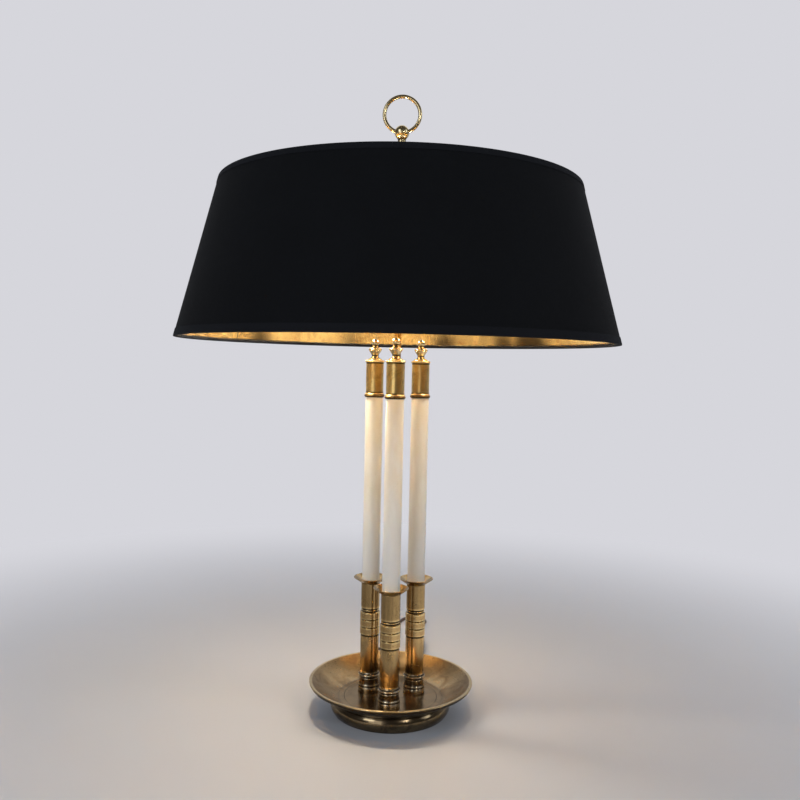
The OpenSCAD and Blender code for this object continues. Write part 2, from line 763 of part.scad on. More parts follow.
module switch_screws() {
    color([0.6, 0.6, 0.6]) translate([switch_x, switch_y, 0])
        at_switch_screws() translate([0, 0, 1])
            cylinder(r = screw_hole - fit, h = switch_z + screw_bite - 1);
}

module switch_rocker() {
    color([0.1, 0.07, 0.06]) translate([switch_x, switch_y, rocker_z]) rotate([rocker_on, 0, 0]) {
        translate([-rocker_w / 2, 0, 0]) rotate([90, 0, 90]) linear_extrude(rocker_w)
            polygon([
                [-rocker_len / 2, -0.5], [-4, -2], [4, -2], [rocker_len / 2, -0.5], [rocker_len / 2, 4.4],
                [0, 3.2], [-rocker_len / 2, 4.4]]);
        translate([-rocker_w / 2 - 1.6, 0, 0]) rotate([0, 90, 0])
            cylinder(r = rocker_pin, h = rocker_w + 3.2);
    }
}

foot_ring();
weight_ring();
felt_pad();
tray();
for (i = [1:3]) {
    column_base(i);
    column_stem(i);
    drip_pan(i);
    candle(i);
    candle_cap(i);
    finial(i);
}
tie_rods();
tie_nuts();
tie_washers();
centre_rod();
rod_nut();
rod_collar();
cluster_body();
cluster_cap();
cluster_screw();
lampholder(-1);  // lampholder_left
lampholder(1);  // lampholder_right
bulb(-1);  // bulb_left
bulb(1);  // bulb_right
bulb_bases();
inner_flex();
shade_carrier();
lock_ring();
clamp_key();
spider_hub();
spider_arms();
shade_wires();
shade_shell();
shade_lining();
shade_tapes();
knob();
ring_handle();
cord_bush();
cord_lead();
cord_coil();
cord_end();
plug_body();
plug_pins();
switch_base();
switch_cover();
switch_screws();
switch_rocker();
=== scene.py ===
"""A lit bouillotte lamp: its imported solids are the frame, and the pieces made here are what shows.

Lengths are written in millimetres and turned into metres where a mesh or a curve is made.
"""

from math import atan2, ceil, copysign, cos, degrees, dist, exp, hypot, inf, pi, radians, sin

import bmesh
import bpy
from mathutils import Matrix, Vector, noise


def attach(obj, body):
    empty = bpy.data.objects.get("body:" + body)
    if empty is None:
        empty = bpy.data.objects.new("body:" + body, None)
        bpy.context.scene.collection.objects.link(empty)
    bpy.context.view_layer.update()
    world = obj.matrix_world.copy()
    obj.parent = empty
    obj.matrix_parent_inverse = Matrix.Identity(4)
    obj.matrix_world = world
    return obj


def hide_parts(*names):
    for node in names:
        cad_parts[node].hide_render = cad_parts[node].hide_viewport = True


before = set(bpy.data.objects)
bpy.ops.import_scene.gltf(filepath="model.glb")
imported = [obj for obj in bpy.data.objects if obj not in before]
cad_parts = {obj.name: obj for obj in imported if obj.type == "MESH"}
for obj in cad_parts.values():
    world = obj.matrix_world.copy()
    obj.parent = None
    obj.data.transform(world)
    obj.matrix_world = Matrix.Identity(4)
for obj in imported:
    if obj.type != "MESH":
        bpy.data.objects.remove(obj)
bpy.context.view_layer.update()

MM = 0.001
TAU = 2 * pi

# ---- the lamp's sizes, as in its source

FOOT_R, FOOT_H, FOOT_IN = 70, 15, 59
TRAY_R, TRAY_Z, DISH, FLAT_R, RIM_W, RIM_H = 95, 16.5, 19.5, 60, 3.5, 4
RIM_Z = TRAY_Z + DISH
TRIO_R = 31
TRIO = [(TRIO_R * cos(a), TRIO_R * sin(a)) for a in map(radians, (270, 390, 510))]
BASE_R, BASE_H, STEM_R, TUBE_H = 12.9, 22.5, 10.9, 44.7
BANDS, BAND_H, BAND_OUT, NECK_H = 3, 9.1, 0.8, 33.6
TIE_HOLE = 3.05
STEM_Z = TRAY_Z + BASE_H
PAN_Z = STEM_Z + TUBE_H + BANDS * BAND_H + NECK_H
PAN_R, PAN_H = 20, 7
CANDLE_R, CANDLE_WALL, CANDLE_Z, CANDLE_LEN = 10.2, 1.2, PAN_Z + 1, 219
CAP_Z, CAP_R, CAP_H = CANDLE_Z + CANDLE_LEN, 10.3, 43.5
FINIAL_Z, FINIAL_H = CAP_Z + CAP_H, 25.3
ROD_R, ROD_BORE, ROD_LOW, ROD_TOP = 4, 2.6, 9, 655
ROD_FIT = ROD_R + 0.05               # the bore of what sits on the rod
KNOB_Z, KNOB_R, BALL_R, BALL_Z = ROD_TOP - 15, 5, 8.4, ROD_TOP + 12.5
RING_MID, RING_WIRE = 20.4, 2.2
RING_Z = BALL_Z + RING_MID
SHADE_LOW_R, SHADE_TOP_R, SHADE_Z, SHADE_H = 250, 204.5, 429, 173
SHADE_TOP = SHADE_Z + SHADE_H
WIRE_UP, WIRE_GAP, WIRE_R = 2.2, 3.91, 1.6
HUB_Z, HUB_R, HUB_T = 588, 18, 4
KEY_Z, KEY_A = 574, 45
CLUSTER_Z, CLUSTER_R, TILT = 478, 14, 15
STUB_END, HOLDER_R, HOLDER_LEN, HOLDER_IN = 24, 13, 46, 10.5
BULB_R, BULB_NECK, GLASS_LOW, GLASS_MID = 22.5, 9, 67.05, 93.55
CORD_D, CORD_Z, BUSH_R = 4.4, 6.5, 5
PLUG_X, PLUG_Z, PLUG_FRONT = -28, 6.9, 108
SWITCH_X, SWITCH_Y, SWITCH_W, SWITCH_LEN, SWITCH_SPLIT, SWITCH_H = 25, 206, 22, 56, 7, 16
COIL_X, COIL_Y = 40, 116


def add_object(name, data):
    made = bpy.data.objects.new(name, data)
    bpy.context.scene.collection.objects.link(made)
    return made


# ---- camera

CAMERA_TURN = radians(3)        # the lamp stands turned by this much
CAMERA_PLACE = Vector((0.0496, -0.946, 0.3999))
CAMERA_PITCH, CAMERA_YAW, CAMERA_ROLL = 0.0396, 0.0031, 0.0209
CAMERA_LENS, CAMERA_SHIFT = 36.917, 0.00125

camera = add_object("camera", bpy.data.cameras.new("camera"))
camera.data.sensor_width = 36
camera.data.lens, camera.data.shift_x = CAMERA_LENS, CAMERA_SHIFT
aim = Matrix.Rotation(CAMERA_TURN - CAMERA_YAW, 4, "Z") @ Matrix.Rotation(pi / 2 - CAMERA_PITCH, 4, "X")
camera.matrix_world = Matrix.Translation(CAMERA_PLACE) @ aim @ Matrix.Rotation(CAMERA_ROLL, 4, "Z")
bpy.context.scene.camera = camera

# ---- materials


def tone(red, green, blue):
    """A colour from its 0 to 255 screen values, as the shader wants it."""
    def linear(v):
        v /= 255
        return v / 12.92 if v <= 0.04045 else ((v + 0.055) / 1.055) ** 2.4
    return (linear(red), linear(green), linear(blue), 1)


class Nodes:
    """A node tree in the making. Its sockets are fed links or values, the first ones in order and others by name."""

    def __init__(self, tree):
        self.tree = tree

    def feed(self, socket, value):
        if isinstance(value, bpy.types.NodeSocket):
            self.tree.links.new(value, socket)
        else:
            socket.default_value = value

    def add(self, kind, settings=None, *first, **named):
        node = self.tree.nodes.new("ShaderNode" + kind)
        for key, value in (settings or {}).items():
            setattr(node, key, value)
        for socket, value in zip(node.inputs, first):
            self.feed(socket, value)
        for key, value in named.items():
            self.feed(node.inputs[key.replace("_", " ")], value)
        return node

    def maths(self, operation, a, b=0.0):
        return self.add("Math", {"operation": operation}, a, b).outputs[0]

    def times(self, a, b):
        return self.maths("MULTIPLY", a, b)

    def plus(self, a, b):
        return self.maths("ADD", a, b)

    def vectors(self, operation, *fed):
        return self.add("VectorMath", {"operation": operation}, *fed).outputs

    def split(self, vector):
        return self.add("SeparateXYZ", None, vector).outputs

    def shaders(self, share, a, b):
        return self.add("MixShader", None, share, a, b).outputs[0]


class Finish(Nodes):
    """One procedural material. Values that don't vary are set on its shader."""

    def __init__(self, name, slot, made=True, **plain):
        self.material = bpy.data.materials.new(name)
        self.material.use_nodes = True
        super().__init__(self.material.node_tree)
        self.slot = slot
        self.shader = self.tree.nodes["Principled BSDF"]
        self.place = self.carried("place", "Vector") if made else self.add("TexCoord").outputs["Object"]
        self.put(**plain)

    def put(self, **sockets):
        for key, value in sockets.items():
            self.feed(self.shader.inputs[key.replace("_", " ")], value)
        return self

    def look(self, colour, roughness, normal):
        return self.put(Base_Color=colour, Roughness=roughness, Normal=normal)

    def carried(self, name, kind="Fac"):
        """What the mesh carries under this name."""
        return self.add("Attribute", {"attribute_name": name}).outputs[kind]

    def noise(self, scale, stretch=(1, 1, 1), detail=3, rough=0.5, warp=0.0):
        return self.add("TexNoise", None, self.vectors("MULTIPLY", self.place, stretch)[0], Scale=scale, Detail=detail,
                        Roughness=rough, Distortion=warp).outputs[0]

    def fit(self, value, low, high, to_low=0.0, to_high=1.0):
        """value between low and high, carried to another range with soft ends."""
        return self.add("MapRange", {"interpolation_type": "SMOOTHSTEP"}, value, low, high, to_low, to_high).outputs[0]

    def mix(self, share, a, b):
        """Two colours mixed, each of them a link or its screen values."""
        node = self.add("Mix", {"data_type": "RGBA"}, share)
        for socket, colour in zip(node.inputs[6:8], (a, b)):
            self.feed(socket, tone(*colour) if isinstance(colour, tuple) else colour)
        return node.outputs[2]

    def bump(self, height, distance, strength, over=None):
        node = self.add("Bump", None, Height=height, Distance=distance, Strength=strength)
        if over:
            self.feed(node.inputs["Normal"], over)
        return node.outputs["Normal"]

    def cells(self, scale):
        return self.add("TexVoronoi", {"feature": "F1"}, self.place, Scale=scale).outputs

    def wear_and_shade_colour(self, colour, grime_and_shade, shine, amount=0.85):
        """Dirt and patina in the hollows, painted shade where a piece raises the mask for it, and a brighter rub along
        the edges that is also a painted highlight.
        """
        wear_and_shade = self.carried("wear_and_shade")
        dirty = self.mix(self.times(self.fit(wear_and_shade, 0.05, 0.75), amount), colour, grime_and_shade)
        return self.mix(self.times(self.fit(wear_and_shade, -0.1, -0.8), 0.5), dirty, shine)


def brass(name, slot, light, dark, grime_and_shade, shine, rough, made=True, streak=0.5, tarnish=(0.42, 0.68), turned=0.0,
          grain=0.0, painted_shade_below=None, dented=0.25, smooth_within=None):
    """Brass: cloudy tarnish, faint streaks along its axis, dirt and patina in its hollows, painted shade where its mask
    or its height asks for it, and fine scratches.
    """
    f = Finish(name, slot, made, Metallic=1.0, Anisotropic=grain)
    if grain:
        f.put(Tangent=f.add("Tangent", {"direction_type": "RADIAL", "axis": "Z"}).outputs[0])
    cloud = f.fit(f.noise(55, detail=6, rough=0.62, warp=0.8), *tarnish)
    drips = f.fit(f.noise(150, (1, 1, 0.06), rough=0.6), 0.45, 0.75)
    spots = f.fit(f.noise(420, detail=2), 0.66, 0.74)
    colour = f.mix(cloud, light, dark)
    colour = f.mix(f.times(drips, streak), colour, dark)
    colour = f.mix(f.times(spots, 0.5), colour, grime_and_shade)
    if painted_shade_below:
        # painted shade: darker towards the bottom of the piece
        colour = f.mix(f.fit(f.split(f.place)["Z"], *painted_shade_below, 0.8, 0.0), colour, grime_and_shade)
    if made:
        colour = f.wear_and_shade_colour(colour, grime_and_shade, shine)
    scratches = f.noise(900, (0.3, 0.3, 1) if turned else (1, 1, 0.12), 2, 0.7)
    mottled = f.plus(f.times(cloud, 0.6), f.times(scratches, 0.5))
    normal = f.bump(scratches, 0.00004, 0.5)
    if turned:
        rings = f.add("TexNoise", {"noise_dimensions": "1D"}, W=f.carried("run"), Scale=3.5, Detail=4.0).outputs[0]
        normal = f.bump(rings, 0.00005 * turned, 0.6, normal)
        mottled = f.plus(mottled, f.times(f.maths("SUBTRACT", rings, 0.5), 0.8 * turned))
    roughness = f.fit(mottled, 0.1, 1.0, *rough)
    if smooth_within:
        out = f.vectors("LENGTH", f.vectors("MULTIPLY", f.place, (1, 1, 0))[0])["Value"]
        roughness = f.times(roughness, f.fit(out, *smooth_within, 0.6, 1.0))
    return f.look(colour, roughness, f.bump(f.noise(120, detail=2), 0.00025, dented, normal))


FOOT_BRASS = brass("foot_brass", "foot_brass", (122, 106, 82), (86, 73, 57), (20, 16, 13), (150, 130, 98), (0.12, 0.26),
                   streak=0.2, turned=0.2)
TRAY_BRASS = brass("tray_brass", "tray_brass", (156, 131, 94), (126, 102, 70), (30, 23, 16), (208, 190, 152),
                   (0.27, 0.4), streak=0.0, turned=0.6, smooth_within=(0.054, 0.07))
# the stems carry painted shade, darker towards their foot
COLUMN_BRASS = brass("column_brass", "column_brass", (196, 169, 123), (166, 139, 95), (34, 25, 18), (228, 210, 162),
                     (0.2, 0.34), streak=0.35, tarnish=(0.45, 0.8), grain=0.35, painted_shade_below=(0.035, 0.085),
                     dented=0.12)
BASE_BRASS = brass("base_brass", "column_brass", (150, 134, 108), (96, 82, 64), (24, 20, 16), (228, 220, 200),
                   (0.16, 0.32), tarnish=(0.32, 0.6))
# painted shade: a darker brass for the bead under each cap
SHADED_BEAD_BRASS = brass("shaded_bead_brass", "column_brass", (70, 57, 38), (50, 40, 28), (24, 18, 12), (100, 84, 58), (0.34, 0.48),
                   streak=0.2)
CAP_BRASS = brass("cap_brass", "column_brass", (212, 186, 124), (176, 150, 98), (40, 28, 16), (240, 218, 162),
                  (0.3, 0.42), streak=0.4, grain=0.3)
BRIGHT_BRASS = brass("bright_brass", "polished_brass", (216, 198, 154), (180, 160, 118), (60, 46, 28), (244, 230, 192),
                     (0.22, 0.34), streak=0.15, tarnish=(0.55, 0.85))
RING_BRASS = brass("ring_brass", "polished_brass", (196, 178, 138), (146, 128, 94), (50, 42, 30), (224, 208, 164),
                   (0.22, 0.32), streak=0.3, tarnish=(0.4, 0.75), dented=0.08)
ROD_BRASS = brass("rod_brass", "rod_brass", (214, 172, 98), (160, 122, 66), (60, 42, 24), (236, 206, 140),
                  (0.18, 0.34), grain=0.3)


def zinc_steel():
    f = Finish("zinc_steel", "steel", made=False, Metallic=1.0)
    dull = f.noise(240, detail=4)
    return f.look(f.mix(f.fit(dull, 0.35, 0.7), (190, 190, 186), (132, 130, 124)), f.fit(dull, 0.3, 0.7, 0.28, 0.5),
                  f.bump(f.cells(700)["Distance"], 0.00004, 0.4))


def cast_iron():
    f = Finish("cast_iron", "iron", made=False, Metallic=0.6)
    grit = f.noise(620, detail=5, rough=0.7)
    rust = f.fit(f.noise(90, detail=4, warp=0.6), 0.58, 0.74)
    colour = f.mix(rust, f.mix(grit, (38, 37, 36), (70, 68, 66)), (96, 62, 44))
    return f.look(colour, f.fit(grit, 0.2, 0.8, 0.55, 0.8), f.bump(grit, 0.0003, 0.7))


def felt():
    f = Finish("felt", "felt", made=False, Sheen_Weight=0.5, Sheen_Roughness=0.5)
    fuzz = f.noise(1600, (1, 1, 0.5), 4, 0.8, 1.2)
    return f.look(f.mix(f.noise(170, detail=4), (38, 60, 44), (62, 88, 64)), f.fit(fuzz, 0.2, 0.8, 0.85, 0.98),
                  f.bump(fuzz, 0.0004, 0.8))


CANDLE_PAINTED_LIGHT = (0.15, 0.275)          # painted light: where up a candle its white turns from a cool lower tint to warm, in metres


def ivory():
    """Candle sleeve: cream, a little uneven, with a soft waxy gloss and light that sinks in, and painted light that
    makes it cooler towards the bottom.
    """
    f = Finish("ivory", "candle_ivory", Subsurface_Weight=0.18, Subsurface_Scale=0.004, Coat_Weight=0.12,
               Coat_Roughness=0.3, IOR=1.48, Subsurface_Radius=(1.0, 0.7, 0.45))
    clouds = f.noise(38, (1, 1, 0.35), 4, 0.6, 0.4)
    fibres = f.noise(700, (1, 1, 0.05), rough=0.7)
    specks = f.fit(f.noise(900, detail=1), 0.74, 0.8)
    colour = f.mix(f.fit(clouds, 0.3, 0.7), (237, 236, 230), (227, 223, 211))
    # painted light: a cool tint low on the candle, warm cream higher up
    colour = f.mix(f.fit(f.split(f.place)["Z"], *CANDLE_PAINTED_LIGHT, 1.0, 0.0), colour, (217, 220, 221))
    colour = f.mix(f.times(specks, 0.35), colour, (170, 150, 118))
    colour = f.wear_and_shade_colour(colour, (150, 126, 92), (246, 240, 226), 0.5)
    return f.look(colour, f.fit(fibres, 0.2, 0.8, 0.42, 0.6), f.bump(fibres, 0.00012, 0.35))


def cloth(name, slot, warp_tone, weft_tone, nap, thread, lint=0.0):
    """Plain weave, its threads so many millimetres apart, along the width and height that the mesh carries."""
    f = Finish(name, slot, Sheen_Weight=nap, Sheen_Roughness=0.45, Specular_IOR_Level=0.12,
               Sheen_Tint=tone(150, 160, 182))
    across = f.split(f.carried("weave", "Vector"))
    slub = f.times(f.noise(260, rough=0.6), 0.5)
    waves = [f.maths("SINE", f.plus(f.times(across[k], pi / thread), slub)) for k in (0, 1)]
    over = f.times(*waves)
    ribs = f.plus(*(f.maths("ABSOLUTE", wave) for wave in waves))
    dust = f.noise(520, detail=4, rough=0.75)
    colour = f.mix(f.fit(over, -0.8, 0.8), warp_tone, weft_tone)
    colour = f.mix(f.fit(f.noise(14), 0.3, 0.7, 0.0, 0.45), colour, weft_tone)
    colour = f.mix(f.fit(dust, 0.56, 0.8, 0.0, 0.3), colour, (34, 36, 41))
    if lint:
        fluff = f.cells(26)
        close = f.fit(fluff["Distance"], 0.03, 0.012)
        few = f.fit(f.add("SeparateColor", None, fluff["Color"]).outputs[0], 0.86, 0.9)
        colour = f.mix(f.times(f.times(close, few), lint), colour, (150, 152, 156))
    return f.look(colour, f.fit(dust, 0.2, 0.8, 0.78, 0.95), f.bump(f.plus(over, f.times(ribs, 0.7)), 0.00012, 0.5))


def gilt_paper():
    """Foil on paper: gold that is nearly a mirror, wavy from the glue and creased in places, with a dark seam line,
    painted shade beside its creases and painted dark bands low down.
    """
    f = Finish("gilt_paper", "gilt_paper", Metallic=0.8)
    waves = f.noise(17, (1, 1, 0.45), warp=0.6)
    rubbed = f.fit(f.noise(70, (1, 1, 1.5), 5, 0.65), 0.5, 0.75)
    colour = f.mix(rubbed, (240, 200, 124), (214, 164, 92))
    # the dark seam line, painted shade beside the creases and painted dark reflection bands
    seam_and_painted_shade = f.fit(f.carried("wear_and_shade"), 0.1, 0.9)
    return f.look(f.mix(f.times(seam_and_painted_shade, 0.92), colour, (58, 38, 20)), f.fit(rubbed, 0.0, 1.0, 0.1, 0.2),
                  f.bump(waves, 0.004, 0.5, f.bump(f.noise(900, rough=0.7), 0.00005, 0.4)))


def frosted_glass(name, glow):
    """A lit pearl bulb, milky and a little mottled inside."""
    f = Finish(name, "bulb_glass", Roughness=0.3, Coat_Weight=0.6, Coat_Roughness=0.08, Emission_Strength=glow)
    milk = f.noise(60, rough=0.6)
    return f.put(Base_Color=f.mix(milk, (250, 240, 222), (238, 224, 200)),
                 Emission_Color=f.mix(milk, (255, 241, 216), (255, 235, 203)))


def plastic(name, slot, fresh, worn, rough, grain, made=True, gloss=0.0):
    """Moulded plastic or rubber: a fine spark-eroded grain, slight mottling and lighter worn edges."""
    f = Finish(name, slot, made, Coat_Weight=gloss, Coat_Roughness=0.15)
    mottled = f.noise(90, detail=4, rough=0.6)
    pits = f.noise(1500, rough=0.7)
    colour = f.mix(f.fit(mottled, 0.3, 0.7), fresh, worn)
    if made:
        colour = f.wear_and_shade_colour(colour, (8, 6, 5), worn, 0.6)
    return f.look(colour, f.fit(f.plus(mottled, f.times(pits, 0.4)), 0.4, 1.0, *rough), f.bump(pits, 0.00008, grain))


STEEL = zinc_steel()
IRON = cast_iron()
FELT = felt()
IVORY = ivory()
SHADE_CLOTH = cloth("shade_cloth", "shade_fabric", (7, 8, 11), (15, 17, 21), nap=0.04, thread=0.62, lint=0.8)
EDGE_TAPE = cloth("edge_tape", "edge_tape", (13, 14, 18), (24, 26, 31), nap=0.08, thread=0.5)
GILT = gilt_paper()
LEFT_GLASS = frosted_glass("left_glass", 240.0)          # the left bulb is the newer and brighter one
RIGHT_GLASS = frosted_glass("right_glass", 85.0)
BAKELITE = plastic("bakelite", "holder_black", (24, 20, 18), (44, 36, 32), (0.22, 0.4), 0.15, gloss=0.3)
FLEX_BROWN = plastic("flex_brown", "cord_brown", (52, 34, 24), (78, 54, 38), (0.38, 0.55), 0.35, made=False)
BUSH_RUBBER = plastic("bush_rubber", "bush_rubber", (26, 22, 20), (46, 40, 36), (0.6, 0.8), 0.5)
PLUG_BROWN = plastic("plug_brown", "plug_brown", (46, 30, 22), (74, 52, 38), (0.34, 0.52), 0.4)
ROCKER_DARK = plastic("rocker_dark", "plug_brown", (30, 20, 15), (52, 36, 26), (0.25, 0.4), 0.2, gloss=0.2)
WIRE_COVER = plastic("wire_cover", "wire_cover", (150, 120, 84), (184, 152, 110), (0.4, 0.6), 0.3, made=False)
WIRE_STEEL = brass("wire_steel", "shade_wire", (150, 146, 138), (110, 106, 98), (60, 52, 44), (190, 186, 178),
                   (0.3, 0.5), made=False)
PIN_METAL = brass("pin_metal", "pin_metal", (206, 202, 192), (176, 170, 158), (90, 82, 70), (230, 228, 222),
                  (0.14, 0.28), streak=0.1)
BASE_METAL = brass("base_metal", "base_metal", (196, 192, 182), (150, 144, 132), (70, 60, 48), (220, 216, 206),
                   (0.25, 0.4), made=False)

# ---- meshes


def near(r, z, *steps):
    """The points that lie these steps out and up from a radius and a height."""
    return [(r + out, z + up) for out, up in steps]


def tube(inner, outer, low, high):
    return [(inner, low), (outer, low), (outer, high), (inner, high)]


def around(count):
    return [TAU * k / count for k in range(count)]


def bump_line(r, out, z0, z1, count=20):
    """The outline of a rounded bead from z0 to z1."""
    return [(r + out * (1 - (2 * i / count - 1) ** 2), z0 + (z1 - z0) * i / count) for i in range(count + 1)]


def ball_line(r, z, low, high, count=24):
    angles = [radians(low + (high - low) * i / count) for i in range(count + 1)]
    return [(r * max(cos(a), 0.0), z + r * sin(a)) for a in angles]


def softened(outline, closed, fillet, steps=4):
    """The outline with each of its corners rounded."""
    points = [Vector(p) for p in outline]
    made = []
    for i, p in enumerate(points):
        back, on = points[i - 1] - p, points[(i + 1) % len(points)] - p
        end = not closed and i in (0, len(points) - 1)
        if end or back.length < 1e-6 or on.length < 1e-6 or back.angle(-on) < 0.25:
            made.append(p)
            continue
        cut = min(fillet, 0.45 * back.length, 0.45 * on.length)
        a, b = p + back.normalized() * cut, p + on.normalized() * cut
        for k in range(steps + 1):
            t = k / steps
            made.append(a * (1 - t) ** 2 + p * 2 * t * (1 - t) + b * t * t)
    return made


def filled(points, closed, step):
    """More points along the long runs, most of all near their ends, so that flat faces shade flat."""
    made = []
    last = len(points) if closed else len(points) - 1
    for i in range(last):
        a, b = points[i], points[(i + 1) % len(points)]
        length = (b - a).length
        if length < 1e-6:
            continue
        made.append(a)
        if length > 1.2:
            count = max(1, ceil((length - 0.5) / step))
            stops = [0.25 + (length - 0.5) * k / count for k in range(count + 1)]
            made += [a + (b - a) * (s / length) for s in stops]
    if not closed:
        made.append(points[-1])
    return made


def hollows(points, closed, reach=1.4, depth=0.28):
    """For each point of an outline, above 0 in a hollow and below 0 on an edge."""
    count = len(points)
    area = sum(points[i - 1].x * points[i].y - points[i].x * points[i - 1].y for i in range(count))
    side = 1 if area > 0 else -1

    def walk(i, way):
        gone, here = 0.0, points[i]
        for k in range(1, count):
            j = i + way * k
            if not closed and not 0 <= j < count:
                return here
            there = points[j % count]
            length = (there - here).length
            if gone + length >= reach:
                return here + (there - here) * ((reach - gone) / max(length, 1e-9))
            gone, here = gone + length, there
        return here

    made = []
    for i, p in enumerate(points):
        a, b = walk(i, -1), walk(i, 1)
        along = b - a
        out = Vector((along.y, -along.x)) * side
        out = out.normalized() if out.length > 1e-9 else Vector((1, 0))
        made.append(max(-1.0, min(1.0, ((a + b) / 2 - p).dot(out) / depth)))
    return made


def spun(outline, closed=True, segments=96, fillet=0.35, step=1.6, knurl=(0, 0, 0)):
    """A turned shape as (points, faces, wear, run). An outline that isn't closed starts and ends on the axis.

    knurl says how deep its grooves are, beyond which radius they lie and how many make half a turn.
    """
    line = filled(softened(outline, closed, fillet), closed, step)
    wear_line = hollows(line, closed)
    depth, beyond, grooves = knurl
    points, wear_and_shade, run, rows = [], [], [], []
    gone = 0.0
    for i, p in enumerate(line):
        gone += (p - line[i - 1]).length if i else 0.0
        pole = not closed and i in (0, len(line) - 1)
        rows.append((len(points), pole))
        for angle in around(1 if pole else segments):
            r = 0.0 if pole else p.x - depth * (p.x > beyond) * abs(sin(grooves * angle))
            points.append((r * cos(angle), r * sin(angle), p.y))
            wear_and_shade.append(wear_line[i])
            run.append(gone)
    faces = []
    for i in range(len(rows) if closed else len(rows) - 1):
        (a, a_pole), (b, b_pole) = rows[i], rows[(i + 1) % len(rows)]
        for k in range(segments):
            n = (k + 1) % segments
            if a_pole:
                faces.append((a, b + n, b + k))
            elif b_pole:
                faces.append((a + k, a + n, b))
            else:
                faces.append((a + k, a + n, b + n, b + k))
    return points, faces, wear_and_shade, run


def lofted(loops, ring=False):
    """A skin over loops that all have the same number of points, capped unless the last one meets the first."""
    count = len(loops[0])
    points = [tuple(p) for loop in loops for p in loop]
    faces = []
    for i in range(len(loops) if ring else len(loops) - 1):
        a, b = i * count, (i + 1) % len(loops) * count
        faces += [(a + k, a + (k + 1) % count, b + (k + 1) % count, b + k) for k in range(count)]
    if not ring:
        last = (len(loops) - 1) * count
        faces += [tuple(range(count))[::-1], tuple(range(last, last + count))]
    return points, faces, [0.0] * len(points), [0.0] * len(points)


def moved(shape, matrix):
    points, faces, wear_and_shade, run = shape
    return [tuple(matrix @ Vector(p)) for p in points], faces, wear_and_shade, run


def joined(*shapes):
    points, faces, wear_and_shade, run = [], [], [], []
    for shape in shapes:
        faces += [tuple(len(points) + k for k in face) for face in shape[1]]
        points += shape[0]
        wear_and_shade += shape[2]
        run += shape[3]
    return points, faces, wear_and_shade, run


def with_wear_and_shade(shape, rule):
    """The shape with rule(wear, x, y, z) as each point's wear."""
    points, faces, wear_and_shade, run = shape
    return points, faces, [rule(w, *p) for w, p in zip(wear_and_shade, points)], run


def piece(name, shape, finish, stands_for=None, body="lamp", at=Matrix(), sharp=38, weave=()):
    """A mesh object in its frame `at`, in millimetres, that rides on a body and stands for a CAD node."""
    points, faces, wear_and_shade, run = shape
    place = at.copy()
    place.translation = at.translation * MM
    mesh = bpy.data.meshes.new(name)
    mesh.from_pydata([Vector(p) * MM for p in points], [], faces)
    shell = bmesh.new()
    shell.from_mesh(mesh)
    bmesh.ops.recalc_face_normals(shell, faces=shell.faces)
    shell.to_mesh(mesh)
    shell.free()
    for key, kind, field, values in (
            ("place", "FLOAT_VECTOR", "vector", [v for p in points for v in place @ (Vector(p) * MM)]),
            ("weave", "FLOAT_VECTOR", "vector", [v for w in weave for v in w]),
            ("wear_and_shade", "FLOAT", "value", wear_and_shade), ("run", "FLOAT", "value", run)):
        if values:
            mesh.attributes.new(key, kind, "POINT").data.foreach_set(field, values)
    mesh.shade_smooth()
    mesh.set_sharp_from_angle(angle=radians(sharp))
    mesh.materials.append(finish.material)
    made = add_object(name, mesh)
    made.matrix_world = place
    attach(made, body)
    if stands_for:
        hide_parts(stands_for)
    return made


def shift(x, y, z):
    return Matrix.Translation((x, y, z))


def turn(angle, axis):
    return Matrix.Rotation(radians(angle), 4, axis)


# ---- cord, first because its room decides where its solids lie

ON_TABLE = 2.4                       # the height of the cord's middle where it lies
LEAD = [(-42, 84, 6.5), (-46, 92, 6.5), (-51.5, 107, 4.4)]
LEAD += [(x, y, ON_TABLE) for x, y in (
    (-54.5, 123), (-54, 143), (-50, 162), (-43, 176.5), (-34.5, 187), (-25.5, 197), (-18.5, 211), (-14.5, 229),
    (-13, 250), (-12, 272), (-10.5, 292), (-8, 309), (-4.2, 323), (0.1, 334.7), (4.3, 341.4), (10.8, 345.6),
    (18.6, 346.4), (26.2, 343.9), (32, 338.3), (34.9, 330.9), (34.6, 323.1), (31.4, 315.9), (27.9, 308), (26, 299),
    (25.2, 287))]
LEAD += [(25, 272, 2.7), (25, 254, 4.6), (25, 236, 7), (25, 206, 7), (25, 176, 7), (25.3, 166, 5.4), (28.9, 156, 3.3),
         (35.5, 150.7, 2.6)]
TAIL = [(7, 140, 5.2), (7, 163, 2.8), (3.7, 177.3, ON_TABLE), (-5, 183.7, ON_TABLE), (-16, 183.7, 3),
        (-24.7, 177.5, 4.9), (-28, 167, 6.9), (-28, 161, 6.9)]
COIL_OUT, COIL_IN, COIL_TURNS, COIL_STEPS = 33, 19.8, 3, 16
LOW_LAYER, HIGH_LAYER = 2.55, 6.95


def coil_points():
    """Clockwise turns: inwards on the table from the far side, up, and outwards on top to the left side."""
    made = []
    steps = COIL_TURNS * COIL_STEPS
    rise = COIL_STEPS * 3 // 4
    for k in range(2 * steps + rise + 1):
        angle = radians(90) - TAU * k / COIL_STEPS
        if k <= steps:
            r, z = COIL_OUT + (COIL_IN - COIL_OUT) * k / steps, LOW_LAYER
        elif k <= steps + rise:
            t = (k - steps) / rise
            r, z = COIL_IN, LOW_LAYER + (HIGH_LAYER - LOW_LAYER) * t * t * (3 - 2 * t)
        else:
            r, z = COIL_IN + (COIL_OUT - COIL_IN) * (k - steps - rise) / steps, HIGH_LAYER
        made.append((COIL_X + r * cos(angle), COIL_Y + r * sin(angle), z))
    return made


